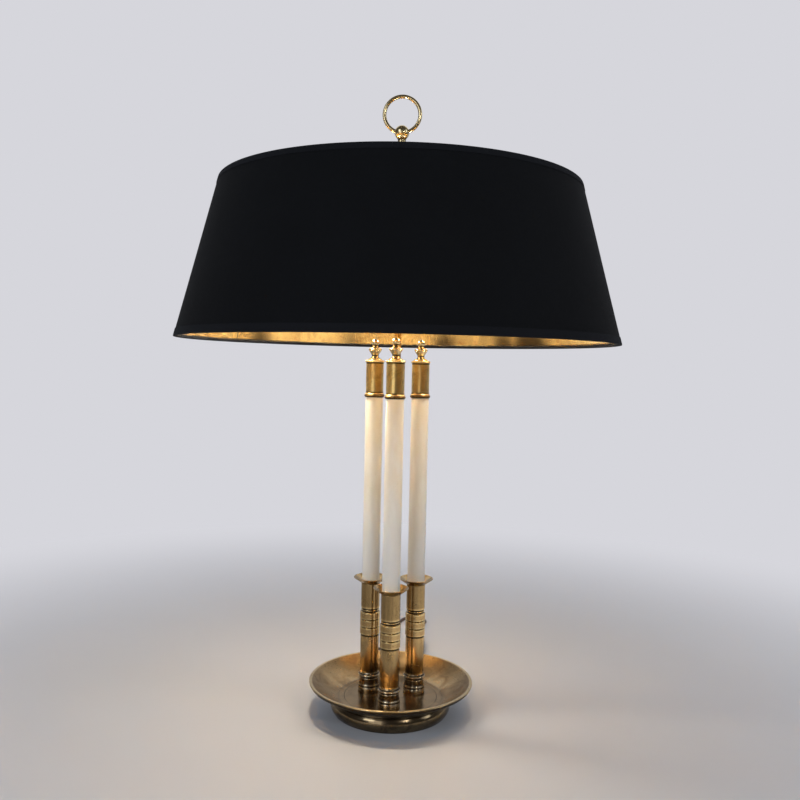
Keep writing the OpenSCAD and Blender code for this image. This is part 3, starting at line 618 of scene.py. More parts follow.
# one smooth curve through the lead, the coil and the tail
knots = LEAD + coil_points() + TAIL
curve = bpy.data.curves.new("cord", "CURVE")
curve.dimensions = "3D"
spline = curve.splines.new("BEZIER")
spline.bezier_points.add(len(knots) - 1)
for knot, p in zip(spline.bezier_points, knots):
    knot.co = Vector(p) * MM
    knot.handle_left_type = knot.handle_right_type = "AUTO"
curve.bevel_depth = CORD_D / 2 * MM
curve.bevel_resolution = 5
curve.resolution_u = 6
curve.use_fill_caps = True
curve.materials.append(FLEX_BROWN.material)
CORD = add_object("cord", curve)
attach(CORD, "lamp")
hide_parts("cord_lead", "cord_coil", "cord_end")

# ---- foot and dish

foot = [(FOOT_IN, 0)] + near(FOOT_R, 0, (-3.6, 0), (-3.2, 0.4)) + bump_line(FOOT_R - 3, 3, 0.8, FOOT_H + 1.8, 28) \
    + [(FOOT_R - 6, FOOT_H + 0.6), (FLAT_R + 1, FOOT_H)] + near(FOOT_IN, FOOT_H, (-6, 0), (-6, -3), (0, -3))


def foot_lower_shade(wear_and_shade, x, y, z, shaded_below=5):
    """Painted shade along the lower side, darkest at the floor."""
    return max(wear_and_shade, 0.45 * (1 - min(z / shaded_below, 1)))


piece("foot", with_wear_and_shade(spun(foot, segments=224), foot_lower_shade), FOOT_BRASS, "foot_ring")

inner = TRAY_R - RIM_W
WALL_STEPS = 26
curve = [(FLAT_R + (inner - FLAT_R) * i / WALL_STEPS, TRAY_Z + DISH * (i / WALL_STEPS) ** 1.5)
         for i in range(WALL_STEPS + 1)]
under = [(r, z - 1.5 * (1 + 0.4 * i / WALL_STEPS)) for i, (r, z) in enumerate(curve)][-2::-1]
dish = [(ROD_FIT, FOOT_H), (ROD_FIT, TRAY_Z)] + near(FLAT_R - 6, TRAY_Z, (-0.5, 0), (0, -0.35), (0.5, 0)) + curve \
    + [(inner + 0.5, RIM_Z + 0.3)] + near(TRAY_R, RIM_Z, (-0.8, 0.3), (0, -0.5), (0, -1), (-1.6, -RIM_H)) \
    + [(inner + 0.4, RIM_Z - RIM_H)] + under
BACK_SHADE_WIDTH = 38                   # degrees either side of the dish's back that painted shade darkens


def dish_wear_and_shade(wear_and_shade, x, y, z):
    """Painted shade on the outside and on the inner wall at the back behind the columns, and the hollows' own wear
    elsewhere inside.
    """
    share = max(0.0, hypot(x, y) - FLAT_R) / (inner - FLAT_R)
    # painted shade on the dish's outside
    if z < TRAY_Z + DISH * min(share, 1.0) ** 1.5 - 0.6:
        return 0.75
    if not 0 < share < 1:
        return wear_and_shade
    # painted shade on the back of the inner wall
    off = degrees(atan2(x, y)) / BACK_SHADE_WIDTH
    return max(wear_and_shade, 0.68 * exp(-off * off) * min(1, 3 * share))


piece("dish", with_wear_and_shade(spun(dish, segments=256, fillet=0.3), dish_wear_and_shade), TRAY_BRASS, "tray")

# ---- candle columns

base = [(TIE_HOLE, 0)] + near(BASE_R, 0, (-0.9, 0), (-0.6, 0.6)) + bump_line(BASE_R - 0.6, 0.6, 1, 5.6) \
    + bump_line(BASE_R - 1, 0.5, 6.2, 8.8) + near(BASE_R, 0, (-1.5, 10.4), (-1.7, 12.4), (-1.6, 14.4)) \
    + bump_line(BASE_R - 1.6, 0.4, 14.8, 16.2) + near(
        BASE_R, 0, (-1.4, 17), (-0.7, 18.1), (-0.1, 18.7), (0, 19.2), (-0.3, 19.7), (-1.2, 20.4), (-1.7, 21.3),
        (-1.9, BASE_H)) + [(TIE_HOLE, BASE_H)]

top = TUBE_H + BANDS * BAND_H
stem = [(TIE_HOLE, 0), (STEM_R, 0), (STEM_R, TUBE_H)]
for k in range(BANDS):
    stem += near(STEM_R + BAND_OUT, TUBE_H + k * BAND_H, (-1, 0), (0, 0.7), (0, BAND_H - 0.7), (-1, BAND_H))
stem += near(STEM_R, top, (-0.9, 0.3), (-0.9, 1.4), (-0.1, 1.8), (-0.1, 2.5), (-0.9, 2.9), (-0.9, 3.9), (0, 4.4),
             (0, NECK_H)) + [(TIE_HOLE, top + NECK_H)]

pan = [(TIE_HOLE, 0), (STEM_R, 0)] + near(PAN_R, PAN_H, (-0.4, -1), (0, -0.6), (0, -0.2), (-0.3, 0), (-0.9, 0)) \
    + [(CANDLE_R + 0.3, 1.7), (CANDLE_R + 0.3, 1), (TIE_HOLE, 1)]

sleeve = tube(CANDLE_R - CANDLE_WALL, CANDLE_R, 0, CANDLE_LEN)

cap_in = CANDLE_R - 1.2
cap = [(cap_in, 3.5)] + near(CAP_R, 0, (0.4, 3.5), (0.7, 3.8), (0.7, 4.4), (0, 5)) \
    + near(CAP_R, CAP_H, (0, -3), (0.9, -2.6), (1, -1.4), (-0.3, -0.4), (-1, 0)) \
    + [(TIE_HOLE, CAP_H), (TIE_HOLE, CAP_H - 2.6), (cap_in, CAP_H - 2.6)]

cap_bead = [(cap_in, 0), (CAP_R + 0.6, 0)] + bump_line(CAP_R + 0.6, 0.95, 0.2, 3.4) + [(cap_in, 3.4)]

finial = [(0, 0), (8, 0), (8, 0.9), (6.8, 1.6), (5.3, 2.4), (4.3, 3.4), (3.9, 4.6), (4, 5.8), (4.9, 7.6), (6.3, 10),
          (7.4, 11.8), (7.2, 12.1), (7.8, 12.6), (7.8, 13.7), (7.2, 14), (6.8, 14.6), (5.2, 15.6), (3.6, 16.8)]
finial = [(r, z * FINIAL_H / 27.3) for r, z in finial] + ball_line(4.75, FINIAL_H - 4.75, -44, 90)

DULL = 0.32                          # the least mask value on the necks and drip pans, which makes them darker

for number, (x, y) in enumerate(TRIO, 1):
    def column_part(name, outline, z, finish, node, duller_above=inf, **more):
        shape = with_wear_and_shade(spun(outline, **more), lambda wear_and_shade, x, y, up: max(wear_and_shade, DULL) if up > duller_above else wear_and_shade)
        piece(f"{name}_{number}", shape, finish, f"{node}_{number}", at=shift(x, y, z))

    column_part("pedestal", base, TRAY_Z, BASE_BRASS, "column_base", fillet=0.3, step=1.0)
    column_part("stem", stem, STEM_Z, COLUMN_BRASS, "column_stem", top + 5, fillet=0.25, step=2.0)
    column_part("pan", pan, PAN_Z, COLUMN_BRASS, "drip_pan", 0, fillet=0.3, step=1.0)
    column_part("sleeve", sleeve, CANDLE_Z, IVORY, "candle", fillet=0.3, step=3.0)
    column_part("cap", cap, CAP_Z, CAP_BRASS, "candle_cap", fillet=0.25, step=1.6)
    piece(f"cap_bead_{number}", spun(cap_bead, fillet=0.2, step=1.0), SHADED_BEAD_BRASS, at=shift(x, y, CAP_Z))
    column_part("finial", finial, FINIAL_Z, BRIGHT_BRASS, "finial", closed=False, fillet=0.5, step=1.0)

# ---- rod, collar, knob and ring

piece("rod", spun(tube(ROD_BORE, ROD_R, ROD_LOW, ROD_TOP), segments=48, step=6), ROD_BRASS, "centre_rod")

collar = [(ROD_FIT, 0), (9, 0), (9, 1.5)] + bump_line(7, 1, 2, 5) + [(6, 6), (ROD_FIT, 6)]
piece("collar", spun(collar), BASE_BRASS, "rod_collar", at=shift(0, 0, TRAY_Z))

knob = [(0, KNOB_Z + 0.2), (ROD_FIT, KNOB_Z)] + near(KNOB_R, KNOB_Z, (2, 0), (2, 2), (0.6, 3), (0, 4)) \
    + near(KNOB_R, BALL_Z - 7, (-0.4, -1), (0.4, 0.4)) + ball_line(BALL_R, BALL_Z, -48, 90, 30)
piece("finger_knob", spun(knob, closed=False, fillet=0.6, step=1.0), RING_BRASS, "knob", body="knob")


def hoop(radius, wire, segments=120, sides=28):
    """A round wire bent to a ring about Z."""
    section = [(radius + wire * cos(b), wire * sin(b)) for b in around(sides)]
    return lofted([[(r * cos(a), r * sin(a), z) for r, z in section] for a in around(segments)], ring=True)


piece("finger_ring", hoop(RING_MID, RING_WIRE), RING_BRASS, "ring_handle", body="knob",
      at=shift(0, 0, RING_Z) @ turn(90, "X"))

# ---- lights

body = [(ROD_FIT, -12), (11, -12), (12.2, -11.4), (12.2, -9.6), (11.4, -9)] + bump_line(CLUSTER_R - 1, 1, -8, 8) \
    + [(11.4, 9), (12.2, 9.6), (13.4, 10.4), (CLUSTER_R, 11), (CLUSTER_R, 12), (ROD_FIT, 12)]
stub = [(0, 9), (5, 9), (5, 14.6), (6.2, 15), (6.2, 16.6), (5, 17), (5, STUB_END - 2), (6.4, STUB_END - 1.6),
        (6.4, STUB_END - 0.05), (0, STUB_END - 0.05)]


def tilted(side):
    return turn(90 - side * TILT - (180 if side < 0 else 0), "Y")


piece("cluster", joined(spun(body), *[moved(spun(stub, closed=False, segments=48), tilted(s)) for s in (-1, 1)]),
      ROD_BRASS, "cluster_body", at=shift(0, 0, CLUSTER_Z))
cluster_top = [(ROD_FIT, 0), (CLUSTER_R, 0), (CLUSTER_R, 1.5), (CLUSTER_R - 2, 3.5), (10, 4.6), (ROD_R + 4.2, 6.6),
               (ROD_R + 3, 8), (ROD_FIT, 8)]
piece("cluster_lid", spun(cluster_top), ROD_BRASS, "cluster_cap", at=shift(0, 0, CLUSTER_Z + 12))

screw_head = [(0, 9.95), (4, 9.95), (4.2, 10.4), (4, 11.5), (3.2, 11.95), (0, 11.95)]
screw = joined(spun(tube(0, 2, 0, 10), False, 32), spun(screw_head, False, 48, knurl=(0.18, 3.9, 12)))
piece("set_screw", screw, ROD_BRASS, "cluster_screw", at=shift(0, -ROD_FIT, CLUSTER_Z - 6) @ turn(90, "X"))

cup_low = HOLDER_LEN - 28
holder = [(0, 0), (7, 0), (7, 1), (9, 2), (11, 3), (12.6, 6), (HOLDER_R, 8), (HOLDER_R, 14), (12.5, 14.4), (12.5, 15.6),
          (HOLDER_R, 16)]
holder += [(HOLDER_R if k % 2 else 12.45, 18 + 1.3 * k) for k in range(12)]
holder += [(HOLDER_R, 34)] + bump_line(HOLDER_R, 1, 34, 37, 10) \
    + [(HOLDER_R, 38), (HOLDER_R, HOLDER_LEN), (HOLDER_IN, HOLDER_LEN), (HOLDER_IN, cup_low), (0, cup_low)]
holder = [(r, STUB_END + z) for r, z in holder]
glass = [(0, 0), (BULB_NECK, 0), (BULB_NECK, 1), (BULB_NECK + 0.4, 2.4), (BULB_NECK + 1.5, 4)]
glass = [(r, GLASS_LOW + z) for r, z in glass] + ball_line(BULB_R, GLASS_MID, -55, 90, 40)
for side, word, bulb_glass in ((-1, "left", LEFT_GLASS), (1, "right", RIGHT_GLASS)):
    at = shift(0, 0, CLUSTER_Z) @ tilted(side)
    piece(f"holder_{word}", spun(holder, False, 72, 0.25), BAKELITE, f"lampholder_{word}", at=at)
    piece(f"lamp_bulb_{word}", spun(glass, False, 72, 1.2, 1.4), bulb_glass, f"bulb_{word}", at=at)

# ---- carrier, key and spider

carrier = [(ROD_FIT, 564), (7, 564), (8, 565), (8, 566.5), (7.6, 566.9), (7.6, 567.7), (8, 568.1)] \
    + near(0, HUB_Z, (8, -3.3), (15, -3.3), (16, -2.6), (16, -0.9), (15.4, -0.3), (8, -0.3)) \
    + [(8, 598.6), (7.4, 599.3), (ROD_FIT, 599.3)]
key_frame = turn(KEY_A, "Z") @ shift(0, 0, KEY_Z) @ turn(90, "Y")
boss = [(2.05, 5), (5, 5), (5, 12.6), (4.6, 14), (2.05, 14)]
piece("carrier_sleeve", joined(spun(carrier), moved(spun(boss, segments=48), key_frame)), ROD_BRASS, "shade_carrier",
      body="carrier")
nut = [(8.05, 0), (12, 0), (13, 0.8), (13, 5.2), (12, 6), (8.05, 6)]
piece("lock_nut", spun(nut, segments=240, knurl=(0.35, 12.5, 30)), ROD_BRASS, "lock_ring", body="carrier",
      at=shift(0, 0, HUB_Z + 4.3))

shank = [(0, 4.3), (1.6, 4.3), (2, 4.8), (2, 14.3), (3.2, 14.3), (3.5, 14.8), (3.5, 16.4), (2.8, 17.3), (0, 17.3)]
wing = [(0, -1.5), (5.6, -1.5), (6.6, -1.3), (8, -0.6), (8, 0.6), (6.6, 1.3), (5.6, 1.5), (0, 1.5)]
grip = moved(spun(wing, False, knurl=(0.22, 7.4, 16)), shift(0, 0, 23) @ turn(90, "X"))
piece("thumb_key", joined(spun(shank, False, 48), grip), BRIGHT_BRASS, "clamp_key", body="key", at=key_frame)

hub = [(8.1, 0), (HUB_R - 0.8, 0), (HUB_R, 0.8)] + near(HUB_R, HUB_T, (0, -0.8), (-0.8, 0)) \
    + near(0, HUB_T, (13, 0), (12.6, -0.4), (8.1, -0.4))
piece("hub", spun(hub), ROD_BRASS, "spider_hub", body="shade", at=shift(0, 0, HUB_Z))


def cone_r(z):
    return SHADE_LOW_R + (SHADE_TOP_R - SHADE_LOW_R) * (z - SHADE_Z) / SHADE_H


def arm():
    """One spider arm: from the hub's edge up to the top wire, with a small flat foot at each end."""
    low = Vector((HUB_R - 0.6, 0, HUB_T / 2))
    high = Vector((cone_r(SHADE_TOP - WIRE_UP) - WIRE_GAP - WIRE_R - 0.2, 0, SHADE_TOP - WIRE_UP - HUB_Z))
    way = high - low
    length = way.length
    rod_line = [(0, 0), (2, 0), (2.6, 0.6), (2.6, 3.4), (2, 4.2), (1.9, 8), (1.9, length - 6), (2.1, length - 4),
                (2.1, length), (0, length)]
    return moved(spun(rod_line, False, 28, 0.3, 6), shift(*low) @ way.to_track_quat("Z", "Y").to_matrix().to_4x4())


piece("arms", joined(*[moved(arm(), turn(120 * k + 90, "Z")) for k in (1, 2, 3)]), ROD_BRASS, "spider_arms",
      body="shade", at=shift(0, 0, HUB_Z))

# ---- shade

SHADE_SEGMENTS, LINING_SEGMENTS = 480, 960
MEAN_R, LINING_R = 227, 245          # what turns angles into lengths round the shade and low on its lining
SEAM_AT = radians(90)           # the cloth's lap, at the back
SEAM_W = 9


def wave(a, z, size, round_it, up):
    """A pasted surface's soft unevenness at the angle a and the height z."""
    return size * noise.noise(Vector((cos(a) * round_it, sin(a) * round_it, z * up)))


def cone_piece(name, line, segments, ripple, finish, stands_for=None, sharp=38):
    """A closed band round the shade's cone. line gives (how far in, height), and its weave runs round and up."""
    loops, weave, wear_and_shade = [], [], []
    gone = 0.0
    for i, (inset, z) in enumerate(line):
        gone += dist((inset, z), line[i - 1]) if i else 0.0
        loops.append([])
        for a in around(segments):
            out, mark = ripple(a, z, inset)
            r = cone_r(z) - inset + out
            loops[-1].append((r * cos(a), r * sin(a), z))
            weave.append((a * MEAN_R, gone, 0))
            wear_and_shade.append(mark)
    points, faces, _, run = lofted(loops, ring=True)
    piece(name, (points, faces, wear_and_shade, run), finish, stands_for, "shade", sharp=sharp, weave=weave)


def cloth_ripple(a, z, inset):
    """Slight unevenness, and the lapped seam that stands a little proud."""
    off = abs((a - SEAM_AT + pi) % TAU - pi) * MEAN_R
    lap = 0.45 * min(1.0, (SEAM_W - off) / 2) if inset < 1 and off < SEAM_W else 0.0
    return wave(a, z, 0.22, 1.6, 0.012) + lap, 0.0


CLOTH_OUT, CLOTH_IN, CLOTH_ROWS = 0.5, 1.7, 36
rise = [SHADE_Z + 0.3 + (SHADE_H - 0.6) * k / CLOTH_ROWS for k in range(CLOTH_ROWS + 1)]
wall = [(CLOTH_OUT, z) for z in rise] + [(CLOTH_IN, z) for z in reversed(rise)]
cone_piece("shade_cloth", wall, SHADE_SEGMENTS, cloth_ripple, SHADE_CLOTH, "shade_shell")


def tape_section(edge, up, height, thick=0.42):
    """A tape that comes down the outside, wraps the shade's edge and its ring wire and ends on the lining."""
    middle = [(0.22, edge + up * (height - height * k / 8)) for k in range(8)]
    middle += [(0.25, edge + up * 0.25), (0.55, edge - up * 0.05), (1.2, edge - up * 0.15), (2.4, edge - up * 0.1)]
    round_wire = [radians(-90 + 16 * k) for k in range(8)]
    middle += [(WIRE_GAP + (WIRE_R + 0.25) * cos(a), edge + up * (WIRE_UP + (WIRE_R + 0.25) * sin(a)))
               for a in round_wire]
    middle += [(2.95, edge + up * 3.6), (2.4, edge + up * 4.1)]
    line = [Vector(p) for p in middle]
    outer, within = [], []
    for i, p in enumerate(line):
        along = (line[min(i + 1, len(line) - 1)] - line[max(i - 1, 0)]).normalized()
        side = Vector((along.y, -along.x)) * (thick / 2)
        outer.append(p + side)
        within.append(p - side)
    return outer + within[::-1]


def tape_ripple(a, z, inset):
    return wave(a, z, 0.22, 1.6, 0.012) + wave(a, z, 0.06, 30, 0.1), 0.0


for name, edge, up, height, node in (("low", SHADE_Z, 1, 8, "shade_tapes"), ("top", SHADE_TOP, -1, 6, None)):
    cone_piece(f"edge_tape_{name}", tape_section(edge, up, height), SHADE_SEGMENTS, tape_ripple, EDGE_TAPE, node)

LINING_SEAM = radians(151.5)
CREASES = [(154, 433, 160, 437, 0.7), (158, 438, 165, 436, 0.8), (163, 434, 170, 438, 0.9),
           (167, 440, 172, 436, 0.7), (171, 435, 176, 437.5, 0.8), (147, 436, 151, 441, 0.8),
           (145, 440, 149, 437, 0.6), (156, 444, 162, 441, 0.6), (149, 445, 151, 434, 0.5),
           (173, 441, 179, 440, 0.6), (160, 452, 168, 447, 0.5)]
DEGREE = 4.28                        # millimetres of lining for each degree round the shade
# painted reflection: dark bands low on the lining, each (middle and width in degrees, darkness)
PAINTED_DARK_BANDS = [(46, 8, 1.15), (56, 5, 0.9), (63, 4, 0.35), (77, 5, 0.9), (109, 5, 0.65), (142, 6, 0.9)]
BAND_RISE = 60                       # how far up the painted dark bands reach


def lining_ripple(a, z, inset):
    """Creases where the foil was pasted badly with painted shade beside them, the step and dark line of its seam, slack
    waves everywhere, and painted dark bands low down.
    """
    out = wave(a, z, 0.25, 5, 0.02)
    turned = degrees(a)
    here = Vector((turned * DEGREE, z))
    mark = 0.0
    for a0, z0, a1, z1, high in CREASES:
        start, end = Vector((a0 * DEGREE, z0)), Vector((a1 * DEGREE, z1))
        along = end - start
        t = max(0.0, min(1.0, (here - start).dot(along) / along.length_squared))
        off = (here - start - along * t).length
        fade = sin(pi * (0.08 + 0.84 * t))
        out -= high * fade * exp(-(off / 0.8) ** 2)
        # painted shade beside the crease
        mark = max(mark, 0.8 * fade * exp(-((off - 0.9) / 0.5) ** 2))
    seam = (a - LINING_SEAM) * LINING_R
    if -0.6 < seam < 7:
        out -= 0.35
    if abs(seam) < 1.2:
        mark = max(mark, 0.9)
    # painted reflection: dark bands that fade out higher up
    low = max(0.0, 1 - (z - SHADE_Z) / BAND_RISE)
    for middle, width, dark in PAINTED_DARK_BANDS:
        mark = max(mark, low * dark * exp(-((turned - middle) / width) ** 2))
    return out, mark


rise = [SHADE_Z + 1.6 + 30 * k / 44 for k in range(45)]          # close together where the creases are
rise += [rise[-1] + (SHADE_TOP - 1.6 - rise[-1]) * k / 24 for k in range(1, 25)]
wall = [(1.8, z) for z in rise[::6]] + [(2.1, z) for z in reversed(rise)]
cone_piece("foil_lining", wall, LINING_SEGMENTS, lining_ripple, GILT, "shade_lining", sharp=60)

# ---- cord pieces

bush = [(0, FOOT_IN + 0.05), (BUSH_R, FOOT_IN + 0.05), (BUSH_R, 70.05), (6, 70.05), (6, 71.2), (4.5, 72.2)]
for k in range(7):
    z = 73.4 + 2.7 * k
    r = 4.4 + (3.1 - 4.4) * (z - 72.25) / 20.6
    bush += [(r, z - 0.9), (r, z + 0.5), (r - 0.45, z + 0.8), (r - 0.45, z + 1.5)]
bush += [(3.1, 92.6), (2.7, 93.85), (0, 93.85)]
cord_a = degrees(atan2(LEAD[0][1], LEAD[0][0]))
piece("bush", spun(bush, False, 48, 0.25, 1.0), BUSH_RUBBER, "cord_bush",
      at=turn(cord_a, "Z") @ shift(0, 0, CORD_Z) @ turn(90, "Y"))


def oval(half_w, half_t, square, count=64):
    """A loop between an ellipse (square 2) and a box (square 8)."""
    def pulled(v):
        return copysign(abs(v) ** (2 / square), v)
    return [(half_w * pulled(cos(a)), half_t * pulled(sin(a))) for a in around(count)]


def plug_loops():
    """The plug's grip from its face to its neck: shoulders, a waisted grip with ribs, and a rounded end."""
    stations = [(0, 16.6, 6.2), (0.3, 17.1, 6.6), (1.0, 17.5, 6.88), (4, 17.5, 6.9), (9, 17.3, 6.9), (12, 16.4, 6.8),
                (15, 15.0, 6.7), (18, 13.8, 6.6)]
    for k in range(4):
        y = 20 + 3 * k
        stations += [(y, 13.0 - 0.7 * k, 6.5), (y + 0.5, 12.3 - 0.7 * k, 6.0), (y + 1.4, 12.2 - 0.7 * k, 6.0),
                     (y + 2.0, 12.6 - 0.7 * k, 6.45)]
    stations += [(33, 9.2, 6.3), (34.3, 8.4, 5.9), (35, 7.2, 5.5)]
    return [[(x, y, z) for x, z in oval(w, t, 3.6)] for y, w, t in stations]


relief = [(0, -1.5), (5.5, -1.5), (5.5, 1)]
for k in range(5):
    z = 2.2 + 3.0 * k
    r = 5.3 + (2.9 - 5.3) * z / 17
    relief += [(r, z - 0.8), (r, z + 0.7), (r - 0.5, z + 1.0), (r - 0.5, z + 1.9)]
relief += [(2.9, 17.2), (2.6, 18), (0, 18)]
pin = [(0, 0), (1.2, 0), (1.9, 1.2), (1.95, 2), (1.95, 22), (0, 22)]
pin_frames = [shift(side * 9.5, -19, 0) @ turn(-90, "X") for side in (-1, 1)]
plug_at = shift(PLUG_X, PLUG_FRONT, PLUG_Z)
plug_shape = joined(lofted(plug_loops()), moved(spun(relief, False, 48, 0.25, 1.0), shift(0, 35, 0) @ turn(-90, "X")),
                    *[moved(spun(tube(0, 2, 9, 19.5), False, 32, 0.2), f) for f in pin_frames])
plug = piece("plug", plug_shape, PLUG_BROWN, "plug_body", at=plug_at)
pins = piece("pins", joined(*[moved(spun(pin, False, 32, 0.3), f) for f in pin_frames]), PIN_METAL,
             "plug_pins", at=plug_at)


def coil_tie(width=9, thick=0.3, gap=0.05, count=56):
    """A soft strap round all the turns, at the coil's far side."""
    half_r, half_h = (COIL_OUT - COIL_IN + CORD_D) / 2 + gap, (HIGH_LAYER - LOW_LAYER + CORD_D) / 2 + gap
    middle = ((COIL_OUT + COIL_IN) / 2, (HIGH_LAYER + LOW_LAYER) / 2)
    return lofted([[(middle[0] + x, side * width / 2, middle[1] + z)
                    for x, z in oval(half_r + grow, half_h + grow, 5, count)]
                   for grow, side in ((0, -1), (thick, -0.94), (thick, 0.94), (0, 1))], ring=True)


piece("coil_tie", coil_tie(), BUSH_RUBBER, at=shift(COIL_X, COIL_Y, 0) @ turn(60, "Z"))


def block(half_w, half_l, corner, z, per=10):
    """A rounded oblong at height z."""
    return [(cx * (half_w - corner) + corner * cos(a), cy * (half_l - corner) + corner * sin(a), z)
            for cx, cy, start in ((1, 1, 0), (-1, 1, 90), (-1, -1, 180), (1, -1, 270))
            for a in (radians(start + 90 * k / (per - 1)) for k in range(per))]


half_w, half_l = SWITCH_W / 2, SWITCH_LEN / 2
switch_at = shift(SWITCH_X, SWITCH_Y, 0)
base_levels = [(1.6, 0.1), (0.8, 0.35), (0.3, 1.0), (0, 2.2), (0, 6.2), (0.25, 6.6), (0.25, SWITCH_SPLIT)]
base_loops = [block(half_w - i, half_l - i, 6.5 - i * 0.5, z) for i, z in base_levels]
piece("switch_lower", lofted(base_loops), PLUG_BROWN, "switch_base", at=switch_at)
cover_levels = [(0.25, SWITCH_SPLIT), (0.25, 7.35), (0, 7.7), (0, 11.5), (0.5, 13.4), (1.6, 14.9), (3.2, 15.7),
                (4.6, SWITCH_H)]
cover_loops = [block(half_w - i, half_l - i * 1.5, 6.5 - i * 0.4, z) for i, z in cover_levels]
cover_loops += [block(5.0, 9.2, 1.3, SWITCH_H), block(4.6, 8.8, 1.1, 15.8), block(4.3, 8.5, 1.0, 15.2),
                block(4.3, 8.5, 1.0, 9.0)]
cover = piece("switch_upper", lofted(cover_loops), PLUG_BROWN, "switch_cover", at=switch_at)


def rocker_loops():
    """A rocker with a dished top and rounded ends, built across its width."""
    profile = [(-7.5, -0.5), (-4, -2), (4, -2), (7.5, -0.5), (7.5, 3.9), (7.2, 4.4), (6.6, 4.4)] \
        + [(6.6 - 13.2 * k / 12, 4.4 - 1.1 * sin(pi * k / 12)) for k in range(1, 12)] \
        + [(-6.6, 4.4), (-7.2, 4.4), (-7.5, 3.9)]
    middle = Vector((0, 1.2))
    return [[(x, *(p - (p - middle).normalized() * inset)) for p in map(Vector, profile)]
            for x, inset in ((-4, 0.5), (-3.85, 0.2), (-3.5, 0), (3.5, 0), (3.85, 0.2), (4, 0.5))]


rocker = piece("rocker_button", lofted(rocker_loops()), ROCKER_DARK, "switch_rocker", body="rocker",
               at=shift(SWITCH_X, SWITCH_Y, SWITCH_H - 2.5) @ turn(9, "X"))

# ---- CAD nodes that stay

for finish, nodes in ((IRON, "weight_ring"), (FELT, "felt_pad"), (WIRE_COVER, "inner_flex"), (BASE_METAL, "bulb_bases"),
                      (STEEL, "tie_rods tie_nuts tie_washers rod_nut switch_screws"), (WIRE_STEEL, "shade_wires")):
    for node in nodes.split():
        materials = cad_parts[node].data.materials
        materials.clear()
        materials.append(finish.material)

# ---- floor, lights and air

BACK_TONE = (214, 214, 220)
FLOOR_TONE = (188, 191, 199)
FLOOR_HALF = 12


def add_floor():
    """A pale floor that turns into the backdrop, and into a lighter and darker room for what shines."""
    mesh = bpy.data.meshes.new("floor")
    corners = ((-1, -1), (1, -1), (1, 1), (-1, 1))
    mesh.from_pydata([(FLOOR_HALF * x, FLOOR_HALF * y, 0) for x, y in corners], [], [(0, 1, 2, 3)])
    f = Finish("floor", "floor", made=False)
    grain = f.noise(3)
    f.put(Base_Color=f.mix(f.fit(grain, 0.3, 0.7, 0.0, 0.25), FLOOR_TONE, (180, 183, 191)),
          Roughness=f.fit(grain, 0.3, 0.7, 0.5, 0.6))
    distance = f.vectors("LENGTH", f.place)["Value"]
    ahead = f.split(f.place)
    rays = f.add("LightPath").outputs
    to_right = f.maths("DIVIDE", ahead["X"], distance)
    patches = f.plus(f.noise(9, detail=1), f.times(to_right, 0.12))
    close = f.mix(f.fit(patches, 0.42, 0.66), (140, 132, 122), (240, 232, 220))
    distant = f.mix(f.fit(to_right, -0.2, 0.4), (176, 164, 146), (66, 58, 50))
    room = f.mix(f.fit(distance, 0.8, 1.4), close, distant)
    room = f.mix(f.fit(ahead["Y"], 0.5, 1.5), room, BACK_TONE)
    glow = f.add("Emission", None, f.mix(rays["Is Glossy Ray"], BACK_TONE, room), 1.0).outputs[0]
    fade = f.plus(f.times(f.fit(distance, 0.2, 1.15), rays["Is Camera Ray"]),
                  f.times(f.fit(distance, 0.16, 0.26), rays["Is Glossy Ray"]))
    f.feed(f.tree.nodes["Material Output"].inputs["Surface"], f.shaders(fade, f.shader.outputs[0], glow))
    mesh.materials.append(f.material)
    floor = add_object("floor", mesh)
    floor.location.z = -0.0002


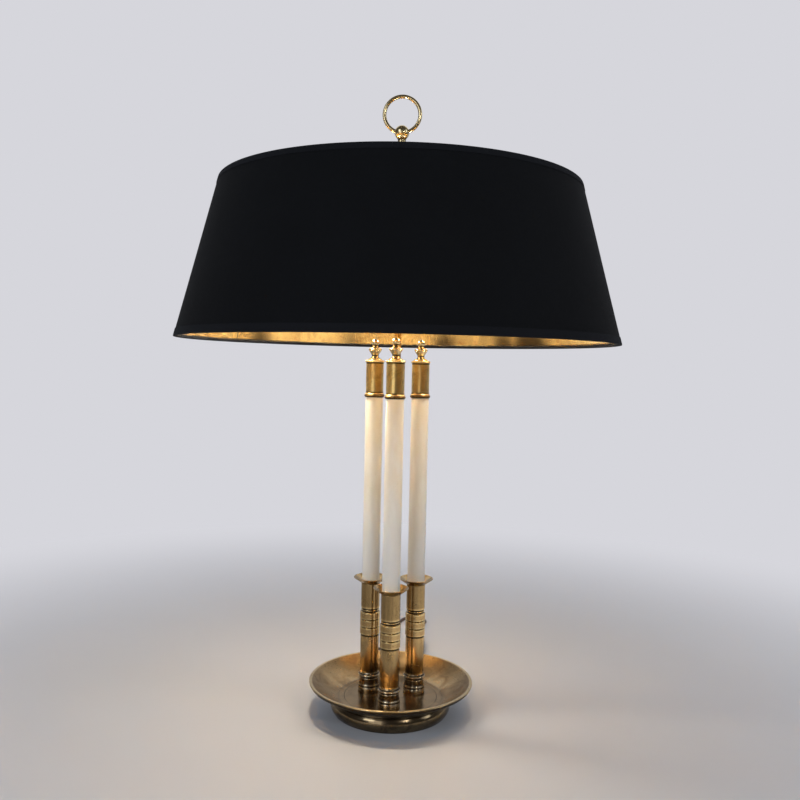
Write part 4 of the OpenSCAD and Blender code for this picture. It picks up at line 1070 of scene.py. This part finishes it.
def add_light(name, place, aim_z, size, power, colour):
    light = add_object(name, bpy.data.lights.new(name, "AREA"))
    light.data.shape = "RECTANGLE"
    light.data.size, light.data.size_y = size
    light.data.energy, light.data.color = power, colour
    light.location = place
    light.rotation_euler = (Vector((0, 0, aim_z)) - Vector(place)).to_track_quat("-Z", "Y").to_euler()


def add_world():
    """Even pale air for the camera and a dim room for the rest, brighter behind the lamp for what shines."""
    world = bpy.data.worlds.new("room")
    world.use_nodes = True
    bpy.context.scene.world = world
    world.node_tree.nodes.clear()
    w = Nodes(world.node_tree)
    reach = w.add("MapRange", None, w.split(w.add("TexCoord").outputs["Generated"])["Y"], -1, 1, 0, 1).outputs[0]

    def room(start, end, *between):
        ramp = w.add("ValToRGB", None, reach)
        stops = ramp.color_ramp.elements
        for stop, (place, colour) in zip(stops, (start, end)):
            stop.position, stop.color = place, (*colour, 1)
        for place, colour in between:
            stops.new(place).color = (*colour, 1)
        return w.add("Background", None, ramp.outputs[0]).outputs[0]

    dim = room((0.0, (0.05, 0.05, 0.055)), (0.85, (0.22, 0.22, 0.235)), (0.4, (0.08, 0.08, 0.084)))
    mirrored = room((0.55, (0.08, 0.078, 0.076)), (0.85, (0.46, 0.46, 0.48)))
    air = w.add("Background", None, tone(*BACK_TONE)).outputs[0]
    rays = w.add("LightPath").outputs
    seen = w.shaders(rays["Is Camera Ray"], w.shaders(rays["Is Glossy Ray"], dim, mirrored), air)
    w.add("OutputWorld", None, seen)


add_floor()
add_world()
add_light("window_left", (-1.4, -1.8, 1.4), 0.3, (0.8, 1.3), 15, (0.86, 0.93, 1.0))
add_light("window_right", (2.2, -0.5, 1.3), 0.3, (0.7, 1.4), 8, (0.88, 0.94, 1.0))
add_light("window_front", (0.95, -1.4, 0.95), 0.1, (0.14, 0.26), 4.5, (1.0, 0.99, 0.96))
add_light("panel_left", (-0.75, -1.8, 0.5), 0.4, (0.9, 1.3), 6, (0.97, 0.98, 1.0))
add_light("ceiling", (0, 2.0, 2.3), 0, (4.0, 2.2), 18, (0.97, 0.98, 1.0))

bpy.context.scene.view_settings.view_transform = "Standard"
